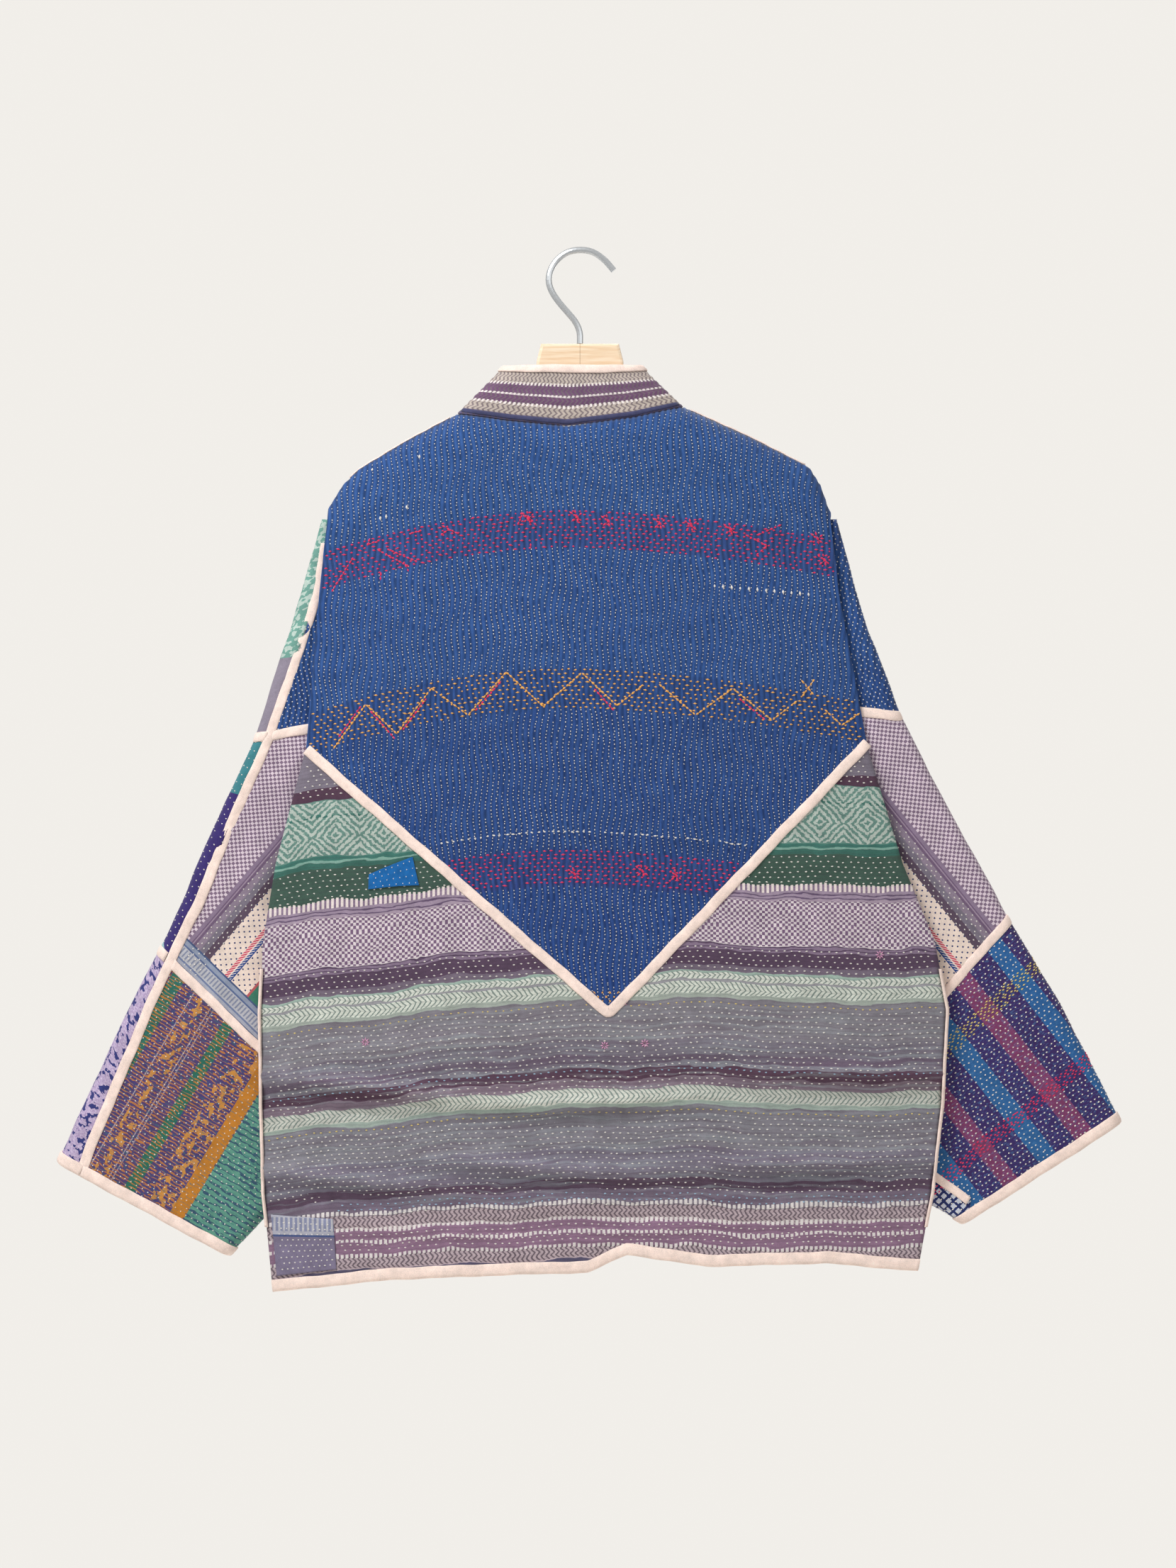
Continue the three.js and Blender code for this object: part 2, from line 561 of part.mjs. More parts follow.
// A sleeve's loop at one section: a flat back and front joined by a round at the outer edge, and by another
// at the inner edge where the sleeve is closed. Distances run from the inner end along the back to the front.
function sectionLoop(section, closed) {
  const outer = new THREE.Vector3(section.outer[0], 0, section.outer[1]);
  const inner = new THREE.Vector3(section.inner[0], 0, section.inner[1]);
  const toOuter = outer.clone().sub(inner).normalize();
  const width = outer.distanceTo(inner);
  const r = section.half;
  const flatStart = closed ? r : 0;
  const flat = width - r - flatStart;
  const quarter = Math.PI * r / 2;
  const startRound = closed ? quarter : 0;
  const backEnd = startRound + flat;
  const roundEnd = backEnd + 2 * quarter;
  const frontEnd = roundEnd + flat;
  const put = (a, y) => inner.clone().addScaledVector(toOuter, a).setY(section.y + y);
  const at = (d) => {
    if (d < startRound) return put(r - r * Math.cos(d / r), -r * Math.sin(d / r));
    if (d < backEnd) return put(flatStart + d - startRound, -r);
    const turn = (d - backEnd) / r;
    if (d < roundEnd) return put(width - r + r * Math.sin(turn), -r * Math.cos(turn));
    if (d <= frontEnd) return put(width - r - (d - roundEnd), r);
    return put(r - r * Math.sin((d - frontEnd) / r), r * Math.cos((d - frontEnd) / r));
  };
  const drift = SEAM_DRIFT * Math.max(0, r - MIDDLE_HALF);
  const seamInset = Math.min(TOP_SEAM_INSET + drift - quarter, flat / 2);
  return { at, startRound, backEnd, roundEnd, frontEnd, total: frontEnd + startRound, seamInset, closed };
}

// The stops of the back wall and of the front wall round a loop, with the top seam between them
const FLAT_STEPS = 4;
const ROUND_STEPS = 4;
function loopStops(loop, seamSide) {
  const seam = seamSide < 0 ? loop.backEnd - loop.seamInset : loop.roundEnd + loop.seamInset;
  const round = span(loop.backEnd, loop.roundEnd, ROUND_STEPS);
  const opening = loop.closed ? [0, loop.startRound / 2] : [];
  const closing = loop.closed ? [loop.frontEnd + loop.startRound / 2, loop.total] : [];
  const seamGap = SEAM / 2;
  const endGap = loop.closed ? UNDER_SEAM : seamGap;
  const trim = (stops, before, after) => [stops[0] + before, ...stops.slice(1, -1), last(stops) - after];
  if (seamSide < 0) {
    const front = [seam, ...round, ...span(loop.roundEnd, loop.frontEnd, FLAT_STEPS).slice(1), ...closing];
    const back = [...opening, ...span(loop.startRound, seam, FLAT_STEPS)];
    return { seam, back: trim(back, endGap, seamGap), front: trim(front, seamGap, endGap) };
  }
  const back = [...opening, ...span(loop.startRound, loop.backEnd, FLAT_STEPS), ...round.slice(1), seam];
  const front = [...span(seam, loop.frontEnd, FLAT_STEPS), ...closing];
  return { seam, back: trim(back, endGap, seamGap), front: trim(front, seamGap, endGap) };
}

// Sections between two stated ones
function fillSections(list, steps) {
  const filled = [list[0]];
  for (let i = 0; i + 1 < list.length; i += 1) {
    for (const f of span(0, 1, steps).slice(1)) {
      const mix = (key) => [0, 1].map((k) => lerp(list[i][key][k], list[i + 1][key][k], f));
      const y = lerp(list[i].y, list[i + 1].y, smooth(f));
      const half = lerp(list[i].half, list[i + 1].half, f);
      filled.push({ outer: mix('outer'), inner: mix('inner'), y, half });
    }
  }
  return filled;
}

const STEPS_BETWEEN = 2;
function sleevePanels(label, sleeve, section, backMaterial, frontMaterial) {
  const filled = fillSections(sleeve[section], STEPS_BETWEEN);
  const loops = filled.map((item) => sectionLoop(item, section !== 'upper'));
  const stops = loops.map((loop) => loopStops(loop, sleeve.seamSide));
  const back = loops.map((loop, i) => stops[i].back.map(loop.at));
  const front = loops.map((loop, i) => stops[i].front.map(loop.at));
  wallSolid(`sleeve_${label}_${section}_back`, backMaterial, back);
  wallSolid(`sleeve_${label}_${section}_front`, frontMaterial, front);
  return { loops, stops, back, front };
}

function sleeve(label, form, cloths) {
  const upper = sleevePanels(label, form, 'upper', INDIGO, cloths.upperFront);
  const middle = sleevePanels(label, form, 'middle', LAVENDER, cloths.middleFront);
  const cuff = sleevePanels(label, form, 'cuff', cloths.cuff, cloths.cuffFront);
  const outward = form.side;
  const panels = [upper, middle, cuff];
  const sides = [-TAPE_WIDTH / 2, 0, TAPE_WIDTH / 2];
  const seamRow = (loop, seam) => sides.map((d) => loop.at(seam + d));
  const seamRows = ({ loops, stops }) => loops.map((loop, i) => seamRow(loop, stops[i].seam)).slice(1);
  const seamGrid = panels.flatMap(seamRows);
  const end = seamGrid.length - 1;
  const drawnBack = (p, above) => p.clone().lerp(above, TOP_TAPE_CUT / p.distanceTo(above));
  seamGrid[end] = seamGrid[end].map((p, j) => drawnBack(p, seamGrid[end - 1][j]));
  const lift = outward * (WALL / 2 + SEAM);
  wallSolid(`sleeve_${label}_top_binding`, BLUSH, seamGrid, lift, lift + outward * TAPE);
  const rounds = middle.back[0].length - upper.back[0].length;
  for (const [wall, offset, seamEnd] of [['back', rounds, 'last'], ['front', 0, 'first']]) {
    const cross = (place, above, below, skip) => {
      const name = `sleeve_${label}_${place}_cross_${wall}`;
      seamTape(name, -outward, above[wall], below[wall], skip, TAPE_WIDTH, seamEnd);
    };
    cross('upper', upper, middle, offset);
    cross('lower', middle, cuff, 0);
    edgeTape(`cuff_${label}_binding_${wall}`, BLUSH, drawnIn(edgeStations(cuff[wall], bottomEdge)));
  }
}
sleeve('left', LEFT_SLEEVE, {
  upperFront: LAVENDER, middleFront: LAVENDER, cuff: OCHRE_CUFF, cuffFront: LAVENDER,
});
sleeve('right', RIGHT_SLEEVE, {
  upperFront: INDIGO, middleFront: LAVENDER, cuff: PURPLE_CUFF, cuffFront: PURPLE_CUFF,
});

// Hanger: a flat beech bar with a square head, and a bent wire hook
function hangerBar() {
  const right = [...BAR_TOP, ...BAR_BOTTOM];
  const mirrored = right.slice(0, -1).reverse().map(([x, z]) => [2 * BAR_CENTRE - x, z]);
  const outline = [...right, ...mirrored].map(([x, z]) => new THREE.Vector2(x, z));
  const geometry = new THREE.ExtrudeGeometry(new THREE.Shape(outline), {
    depth: BAR_DEPTH - 2 * BAR_BEVEL,
    bevelEnabled: true,
    bevelThickness: BAR_BEVEL,
    bevelSize: BAR_BEVEL,
    bevelOffset: -BAR_BEVEL,
    bevelSegments: 2,
  });
  geometry.translate(0, 0, BAR_BEVEL - BAR_DEPTH / 2);
  geometry.rotateX(Math.PI / 2);
  const bar = new THREE.Mesh(geometry, BEECH);
  bar.name = 'hanger_bar';
  jacket.add(bar);
}

function hangerHook() {
  const route = new THREE.CatmullRomCurve3(HOOK_ROUTE.map(([x, z]) => new THREE.Vector3(x, 0, z)));
  const wire = new THREE.Shape();
  wire.absarc(0, 0, WIRE_RADIUS, 0, 2 * Math.PI);
  const geometry = new THREE.ExtrudeGeometry(wire, { steps: 40, curveSegments: 5, extrudePath: route });
  const hook = new THREE.Mesh(geometry, STEEL);
  hook.name = 'hanger_hook';
  jacket.add(hook);
}
hangerBar();
hangerHook();

export default jacket;
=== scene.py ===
# %% [markdown]
# A patchwork jacket of quilted cotton hangs on a beech hanger, with its back to the viewer. The packed
# solids are the frame: every cloth piece below is a finer shell on the same form, in the same place.
# Lengths in this script are millimetres until a mesh is made, because cloth, tape and stitches are measured
# so.

# %% Load the frame
import bpy
import mathutils
import numpy as np
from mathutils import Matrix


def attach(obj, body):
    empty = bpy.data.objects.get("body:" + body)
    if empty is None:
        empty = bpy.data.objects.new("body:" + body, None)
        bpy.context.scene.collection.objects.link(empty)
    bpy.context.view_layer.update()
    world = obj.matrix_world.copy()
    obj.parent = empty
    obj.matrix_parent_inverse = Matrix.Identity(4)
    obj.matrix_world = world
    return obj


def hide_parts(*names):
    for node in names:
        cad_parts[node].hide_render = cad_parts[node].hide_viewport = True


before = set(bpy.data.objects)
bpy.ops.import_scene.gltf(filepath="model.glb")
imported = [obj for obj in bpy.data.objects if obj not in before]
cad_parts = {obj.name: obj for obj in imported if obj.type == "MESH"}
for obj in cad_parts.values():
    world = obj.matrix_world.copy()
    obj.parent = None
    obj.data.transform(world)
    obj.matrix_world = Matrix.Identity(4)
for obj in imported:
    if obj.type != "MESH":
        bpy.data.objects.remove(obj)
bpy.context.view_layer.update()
bpy.ops.object.select_all(action="DESELECT")
MM = 0.001
rng = np.random.default_rng(7)

# %% [markdown]
# Colours are written as sRGB hex values, as a dyer's card would give them, and turned to linear by one
# function. One small function adds a shader node with its settings and its links, so a material reads as a
# list of steps.

# %% Colours and nodes
def linear(code):
    channels = [int(code[i:i + 2], 16) / 255 for i in (1, 3, 5)]
    return tuple(c / 12.92 if c <= 0.04045 else ((c + 0.055) / 1.055) ** 2.4 for c in channels) + (1.0,)


def node(tree, kind, inputs=None, **settings):
    made = tree.nodes.new(kind)
    for name, value in settings.items():
        setattr(made, name, value)
    for key, value in (inputs or {}).items():
        if isinstance(value, bpy.types.NodeSocket):
            tree.links.new(value, made.inputs[key])
        else:
            made.inputs[key].default_value = value
    return made


def new_material(name, roughness, sheen=0.0):
    material = bpy.data.materials.new(name)
    material.use_nodes = True
    shader = material.node_tree.nodes["Principled BSDF"]
    shader.inputs["Roughness"].default_value = roughness
    shader.inputs["Sheen Weight"].default_value = sheen
    shader.inputs["Specular IOR Level"].default_value = 0.2 if sheen else 0.5
    return material, material.node_tree, shader


# %% [markdown]
# The outline of the garment comes from the same few seams as the solids: side edges, shoulder and neck seam,
# the V of the yoke and the hem. Every panel is a surface whose depth is worked out from these lines.

# %% Seam lines of the body
BODY_Z = np.array([-910, -820, -740, -660, -600, -533, -431, -300, -224, -190.0])
BODY_LEFT = np.array([-265, -274, -276, -277, -274, -263, -236, -225, -217, -200.0])
BODY_RIGHT = np.array([292, 309, 318, 322, 311, 283, 252, 228, 219, 202.0])
FRONT_Z = np.array([-910, -820, -740, -660, -600, -510, -414, -300, -224, -190.0])
FRONT_LEFT = np.array([-265, -274, -276, -277, -274, -223, -222, -218, -212, -196.0])
FRONT_RIGHT = np.array([292, 309, 318, 322, 311, 238, 236, 221, 214, 198.0])
SHOULDER = np.array([
    (-217, -224), (-204, -203), (-190, -190), (-150, -166), (-105, -142), (-60, -149), (-9, -154),
    (50, -146), (92, -136), (150, -162), (201, -188), (211, -204), (219, -227.0)])
HEM = np.array([
    (-265, -905), (-162, -893), (-60, -888), (9, -886), (43, -871), (112, -881), (214, -879), (292, -887.0)])
V_SEAM = np.array([(-236, -434), (27, -663), (252, -428.0)])
NECK_LEFT, NECK_RIGHT, NECK_DEPTH = -105, 92, 17
WALL = 2.4
SEAM = 0.3


def smooth(f):
    f = np.clip(f, 0, 1)
    return f * f * (3 - 2 * f)


def shoulder_z(x):
    return np.interp(x, SHOULDER[:, 0], SHOULDER[:, 1])


def hem_z(x):
    return np.interp(x, HEM[:, 0], HEM[:, 1])


def v_z(x):
    return np.interp(x, V_SEAM[:, 0], V_SEAM[:, 1])


def across(x, z, heights, left, right):
    lo = np.interp(z, heights, left)
    hi = np.interp(z, heights, right)
    return (2 * x - lo - hi) / (hi - lo)


def neck_depth(x):
    f = np.abs(x - (NECK_LEFT + NECK_RIGHT) / 2) / ((NECK_RIGHT - NECK_LEFT) / 2)
    return NECK_DEPTH * np.sqrt(np.clip(1 - f ** 4, 0, 1))


# %% [markdown]
# Hanging cloth falls in a few large soft folds. They are placed one by one, each as a trough or ridge with
# its own place, slope, length, width and height, and the finer creases of worn quilting are added the same
# way.

# %% Depth of the back and the fronts
FOLDS = [
    (-170, -752, 0.12, 150, 26, 4.5), (150, -742, -0.05, 170, 26, 4.0), (-40, -822, 0.06, 190, 24, 4.5),
    (43, -880, 12.0, 60, 26, -5.0), (-150, -330, 3.2, 170, 30, 3.0), (165, -340, -3.4, 170, 30, 3.0)]
CREASES = [
    (-185, -726, -0.09, 95, 8, 6.0), (-190, -744, -0.08, 95, 9, -4.6), (10, -738, 0.05, 90, 8, 4.8),
    (15, -755, 0.04, 95, 9, -3.8), (240, -714, -0.03, 80, 8, 5.6), (235, -731, -0.03, 85, 9, -4.4),
    (-200, -806, -0.07, 80, 8, 5.2), (-200, -822, -0.07, 80, 8, -4.0), (-40, -795, -0.07, 85, 8, 5.0),
    (-35, -811, -0.06, 90, 8, -4.0), (195, -792, 0.02, 115, 8, 5.0), (190, -809, 0.02, 115, 9, -4.2),
    (-150, -690, 0.1, 80, 9, 2.0), (150, -690, -0.08, 90, 9, 2.0), (60, -850, 0.1, 70, 8, 2.2),
    (-120, -852, -0.05, 90, 8, 2.2), (-200, -240, 0.9, 60, 9, 1.2), (195, -250, -1.0, 60, 9, 1.2),
    (-215, -340, 5.0, 110, 8, 1.4), (222, -350, -5.0, 110, 8, 1.4), (60, -460, 0.1, 120, 16, -1.0),
    (-80, -330, -0.1, 110, 18, 1.0), (90, -240, 0.05, 90, 14, 0.9)]


# The seam is rounded over this drop below the shoulder, and the cloth starts this far from its middle plane
SHOULDER_DROP, SHOULDER_START = 8, 0.9
# The body is drawn in by its side seams from the armhole down, and spreads again
# in the last stretch above the hem
HEM_START, HEM_RUN = 855, 30
BACK_EDGE, BACK_DRAWN, BACK_BULGE = -10, 2, 17
ARMHOLE_START, ARMHOLE_RUN = 430, 170
FRONT_HEM_EDGE, FRONT_BULGE = -3, 16
FRONT_EDGE_Z, FRONT_EDGE_Y = [-510, -414, -334, -250, -224], [-5.2, 10.2, 9, 6, 6.0]


def fold_sum(x, z, folds):
    total = np.zeros_like(x)
    for fx, fz, slope, length, width, height in folds:
        scale = np.hypot(1, slope)
        run = (x - fx + (z - fz) * slope) / scale
        off = ((z - fz) - (x - fx) * slope) / scale
        total += height * np.exp(-(run / length) ** 2 - (off / width) ** 2)
    return total


def shoulder_blend(x, z, start, hanging):
    drop = np.clip(shoulder_z(x) - z, 0, None)
    return start + (hanging - start) * (1 - np.exp(-drop / SHOULDER_DROP))


def hem_spread(z):
    return smooth((-z - HEM_START) / HEM_RUN)


def back_y(x, z):
    room = np.clip(1 - across(x, z, BODY_Z, BODY_LEFT, BODY_RIGHT) ** 2, 0, 1)
    edge = BACK_EDGE + BACK_DRAWN * smooth((-z - ARMHOLE_START) / ARMHOLE_RUN)
    edge = edge + (BACK_EDGE - edge) * hem_spread(z)
    hanging = edge - BACK_BULGE * room - fold_sum(x, z, FOLDS) * np.clip(room * 4, 0, 1)
    start = -np.maximum(SHOULDER_START, neck_depth(x))
    return shoulder_blend(x, z, start, hanging)


def front_y(x, z):
    room = np.clip(1 - across(x, z, FRONT_Z, FRONT_LEFT, FRONT_RIGHT) ** 2, 0, 1)
    edge = np.interp(z, FRONT_EDGE_Z, FRONT_EDGE_Y)
    edge = edge + (FRONT_HEM_EDGE - edge) * hem_spread(z)
    start = np.maximum(SHOULDER_START, neck_depth(x))
    return shoulder_blend(x, z, start, edge + FRONT_BULGE * room)


# %% [markdown]
# A cloth piece is a closed thin shell: the grid of its middle points is moved out by half the wall plus the
# relief of the quilting, and in by half the wall, and the two faces are joined round the rim. The grid also
# carries a UV map in real millimetres, so a woven stripe follows the cloth and not the room.

# %% Shells of cloth
def grid_normals(middle, outward):
    down = np.gradient(middle, axis=0)
    along = np.gradient(middle, axis=1)
    normals = np.cross(down, along)
    normals /= np.linalg.norm(normals, axis=2, keepdims=True) + 1e-12
    return normals * outward


def mesh_object(name, points, faces, uv=None):
    mesh = bpy.data.meshes.new(name)
    size = faces.shape[1]
    mesh.vertices.add(len(points))
    mesh.vertices.foreach_set("co", (np.asarray(points) * MM).astype(np.float32).ravel())
    mesh.loops.add(faces.size)
    mesh.loops.foreach_set("vertex_index", faces.astype(np.int32).ravel())
    mesh.polygons.add(len(faces))
    mesh.polygons.foreach_set("loop_start", np.arange(0, faces.size, size, dtype=np.int32))
    mesh.update(calc_edges=True)
    if uv is not None:
        layer = mesh.uv_layers.new(name="cloth")
        layer.data.foreach_set("uv", uv[faces.ravel()].astype(np.float32).ravel())
    mesh.polygons.foreach_set("use_smooth", np.full(len(faces), True))
    mesh.validate()
    made = bpy.data.objects.new(name, mesh)
    bpy.context.scene.collection.objects.link(made)
    return made


def quads_of(rows, columns, flip=False):
    index = np.arange(rows * columns).reshape(rows, columns)
    faces = np.stack([index[:-1, :-1], index[1:, :-1], index[1:, 1:], index[:-1, 1:]],
                     axis=-1).reshape(-1, 4)
    return faces[:, ::-1] if flip else faces


def shell(name, middle, uv, relief, outward, near=-WALL / 2, far=WALL / 2, ridge_light=None):
    rows, columns = middle.shape[:2]
    normals = grid_normals(middle, outward)
    outer = middle + normals * (far + relief)[..., None]
    inner = middle + normals * near
    count = rows * columns
    index = np.arange(count).reshape(rows, columns)
    rim = np.concatenate([index[0, :-1], index[:-1, -1], index[-1, :0:-1], index[:0:-1, 0]])
    after = np.roll(rim, -1)
    sides = np.stack([rim, after, after + count, rim + count], axis=-1)
    front = quads_of(rows, columns, flip=outward < 0)
    back = quads_of(rows, columns, flip=outward > 0) + count
    faces = np.concatenate([front, back, sides if outward > 0 else sides[:, ::-1]])
    points = np.concatenate([outer.reshape(-1, 3), inner.reshape(-1, 3)])
    flat_uv = np.concatenate([uv.reshape(-1, 2), uv.reshape(-1, 2)])
    made = mesh_object(name, points, faces, flat_uv)
    # The share stored here is read by the cloth colours for painted shade in the valleys and painted light
    # on the ridges.
    if ridge_light is not None:
        layer = made.data.attributes.new("ridge_light", "FLOAT", "POINT")
        layer.data.foreach_set("value", np.tile(ridge_light.ravel(), 2).astype(np.float32))
    print(name, "faces", len(faces))
    return made


def surface_area(middle):
    down = np.diff(middle, axis=0)[:, :-1]
    along = np.diff(middle, axis=1)[:-1]
    return float(np.linalg.norm(np.cross(down, along), axis=2).sum()) * MM * MM


def dress(piece, nodes, material):
    if nodes:
        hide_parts(*nodes)
    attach(piece, "root")
    piece.data.materials.append(material)
    return piece


# %% [markdown]
# Woven cotton with running stitch has three scales: stripes tens of millimetres wide, motifs of a few
# millimetres and the thread itself. The first two are drawn from the UV map in millimetres. The thread is
# about 0.5 mm and too fine to show in a whole view, so it is drawn at 1.1 mm, in the bump and as a slight
# change of colour.

# %% Cotton cloth
THREAD = 1.1
BUMP, THREAD_HEIGHT = 0.25, 0.0004


def cotton(name, colour):
    """Finish of worn hand-loomed cotton. The function colour builds its colour from the tree, u and v."""
    material, tree, shader = new_material(name, 0.92, 0.15)
    uv = node(tree, "ShaderNodeUVMap", uv_map="cloth").outputs["UV"]
    parts = node(tree, "ShaderNodeSeparateXYZ", {"Vector": uv})
    u, v = parts.outputs["X"], parts.outputs["Y"]
    cloth_colour = colour(tree, u, v)
    wear = node(tree, "ShaderNodeTexNoise", {"Vector": uv, "Scale": 0.06, "Detail": 7.0, "Roughness": 0.78})
    fleck = node(tree, "ShaderNodeTexNoise", {"Vector": uv, "Scale": 1.4, "Detail": 2.0})
    tint = node(tree, "ShaderNodeMapRange",
                {"Value": wear.outputs["Fac"], 1: 0.25, 2: 0.75, 3: 0.74, 4: 1.24})
    grain = node(tree, "ShaderNodeMapRange",
                 {"Value": fleck.outputs["Fac"], 1: 0.2, 2: 0.8, 3: 0.82, 4: 1.16})
    both = worked(tree, tint.outputs[0], ("MULTIPLY", grain.outputs[0]))
    shaded = node(tree, "ShaderNodeVectorMath", {0: cloth_colour, "Scale": both}, operation="SCALE")
    tree.links.new(shaded.outputs[0], shader.inputs["Base Color"])
    weft = worked(tree, v, ("MULTIPLY", 2 * np.pi / THREAD), ("SINE",))
    weave = worked(tree, u, ("MULTIPLY", 2 * np.pi / THREAD), ("SINE",), ("MULTIPLY", weft))
    height = worked(tree, fleck.outputs["Fac"], ("ADD", weave))
    bump = node(tree, "ShaderNodeBump", {"Height": height, "Strength": BUMP, "Distance": THREAD_HEIGHT})
    tree.links.new(bump.outputs["Normal"], shader.inputs["Normal"])
    return material


def stripes(tree, v, bands, end):
    """Constant bands of colour down a length in millimetres: bands are (start, hex)."""
    first = bands[0][0]
    place = node(tree, "ShaderNodeMapRange", {"Value": v, 1: float(first), 2: float(end), 3: 0.0, 4: 1.0})
    ramp = node(tree, "ShaderNodeValToRGB", {"Fac": place.outputs[0]})
    ramp.color_ramp.interpolation = "CONSTANT"
    stops = ramp.color_ramp.elements
    for k, (start, code) in enumerate(bands):
        stop = stops[k] if k < 2 else stops.new((start - first) / (end - first))
        stop.position = (start - first) / (end - first)
        stop.color = linear(code)
    return ramp.outputs["Color"]


def within(tree, v, low, high):
    """One where v lies between two places, else zero."""
    under = worked(tree, v, ("LESS_THAN", high))
    return worked(tree, v, ("GREATER_THAN", low), ("MULTIPLY", under))


def dyed(tree, share, ground, dye, strength=1.0):
    """The ground colour, with the dye over it as far as share goes. A colour is a hex value or a socket."""
    if strength < 1:
        share = worked(tree, share, ("MULTIPLY", strength))
    ground, dye = (linear(colour) if isinstance(colour, str) else colour for colour in (ground, dye))
    # the numbers are the colour sockets of a Mix node
    return node(tree, "ShaderNodeMix", {0: share, 6: ground, 7: dye}, data_type="RGBA").outputs[2]


def mottle(tree, x, y, scale_x, scale_y, detail=2.0):
    """Uneven dye or wear, with its own scale along and across the cloth."""
    place = node(tree, "ShaderNodeCombineXYZ", {
        "X": worked(tree, x, ("MULTIPLY", scale_x)), "Y": worked(tree, y, ("MULTIPLY", scale_y))})
    noise = node(tree, "ShaderNodeTexNoise", {"Vector": place.outputs[0], "Scale": 1.0, "Detail": detail})
    return noise.outputs["Fac"]


def worked(tree, value, *steps):
    """A pattern worked out from a distance on the cloth. A step is (operation, operand) or (operation,)."""
    for step in steps:
        inputs = {0: value}
        if len(step) > 1:
            inputs[1] = step[1]
        value = node(tree, "ShaderNodeMath", inputs, operation=step[0]).outputs[0]
    return value


def repeat(pitch, share):
    """Steps for worked: one in the first share of every pitch, else zero."""
    return ("MULTIPLY", 1 / pitch), ("FRACT",), ("LESS_THAN", share)


def checked(tree, along, aside, pitch):
    """A basket check: one in every other square, else zero."""
    first = worked(tree, along, ("MULTIPLY", 1 / pitch), ("FRACT",), ("GREATER_THAN", 0.5))
    second = worked(tree, aside, ("MULTIPLY", 1 / pitch), ("FRACT",), ("GREATER_THAN", 0.5))
    return worked(tree, first, ("SUBTRACT", second), ("ABSOLUTE",))


# %% [markdown]
# The blue yoke is one old indigo cotton. Three dyed bands cross it, where the thread changes to red or
# yellow. The bands arch, because the quilt was cut at a slant and pulled by its stitches, so v follows that
# arch.

# %% The blue yoke's cloth
YOKE_CROWN = -10


def yoke_arch(x):
    """How far the bands lie below their crown: (fall, reach, power) on the left and on the right of it."""
    left, right = (fall * (np.abs(x - YOKE_CROWN) / reach) ** power
                   for fall, reach, power in ((-38, 220, 1.8), (-26, 240, 1.7)))
    return np.where(x < YOKE_CROWN, left, right)


YOKE_BANDS = [
    (130, "#2B4D86"), (226, "#2E477F"), (259, "#2A4B85"), (363, "#27457E"), (399, "#26447E"),
    (505, "#244079"), (520, "#2B3F79"), (552, "#25427E")]


def indigo_colour(tree, u, v):
    base = stripes(tree, v, YOKE_BANDS, 700)
    drift = node(tree, "ShaderNodeCombineXYZ", {"X": u, "Y": worked(tree, v, ("MULTIPLY", 0.22))})
    streak = node(tree, "ShaderNodeTexNoise", {
        "Vector": drift.outputs[0], "Scale": 0.22, "Detail": 4.0, "Roughness": 0.7})
    pale = node(tree, "ShaderNodeMapRange",
                {"Value": streak.outputs["Fac"], 1: 0.45, 2: 0.75, 3: 0.0, 4: 0.3})
    base = dyed(tree, pale.outputs[0], base, "#4A73AE")
    # painted shade in the valleys of the puckers and painted light on their ridges
    ridge = node(tree, "ShaderNodeAttribute", attribute_name="ridge_light").outputs["Fac"]
    lit = node(tree, "ShaderNodeMapRange", {"Value": ridge, 1: 0.0, 2: 1.0, 3: 0.55, 4: 1.35})
    return node(tree, "ShaderNodeVectorMath", {0: base, "Scale": lit.outputs[0]},
                operation="SCALE").outputs[0]


# Old indigo cotton, hand-woven and washed soft: matte and a little furry, with painted shade in
# the valleys between stitches and painted light on the ridges.
INDIGO = cotton("indigo_quilted_cotton", indigo_colour)

# %% [markdown]
# The yoke's columns run from the neck and shoulder seam down to the V. Running stitch draws the cloth into
# small wavy ridges between its columns of dots, about 4.8 mm apart, and these ridges are real relief in the
# mesh.

# %% The blue yoke
PUCKER = 4.8
COLUMNS_PER_PUCKER = 3


def side_shift(s, f, top, bottom):
    z_left = top[0][1] + (bottom[0][1] - top[0][1]) * f
    z_right = top[1][1] + (bottom[1][1] - top[1][1]) * f
    left = np.interp(z_left, BODY_Z, BODY_LEFT) - (top[0][0] + (bottom[0][0] - top[0][0]) * f)
    right = np.interp(z_right, BODY_Z, BODY_RIGHT) - (top[1][0] + (bottom[1][0] - top[1][0]) * f)
    return left * np.clip(1 - s / 0.3, 0, 1) + right * np.clip((s - 0.7) / 0.3, 0, 1)


def span_x(line, s):
    return line[0][0] + (line[-1][0] - line[0][0]) * s


def wavy(x, z):
    return 1.3 * np.sin(z / 9.0 + 2.1 * np.sin(x / 31.0)) + 0.9 * np.sin(z / 21.0 + x / 17.0)


def ridge_of(x, z):
    return 0.5 + 0.5 * np.cos(2 * np.pi * (x + wavy(x, z)) / PUCKER)


def yoke_relief(x, z):
    swell = 0.65 + 0.35 * np.sin(x / 43.0 + np.sin(z / 37.0)) * np.sin(z / 29.0)
    return 0.95 * ridge_of(x, z) * swell + fold_sum(x, z, CREASES)


def column_shares(break_share, count):
    left = max(2, int(round(count * break_share)))
    return np.concatenate([np.linspace(0, break_share, left, endpoint=False),
                           np.linspace(break_share, 1, count - left)])


V_WIDTH = V_SEAM[2][0] - V_SEAM[0][0]
V_SHARE = (V_SEAM[1][0] - V_SEAM[0][0]) / V_WIDTH
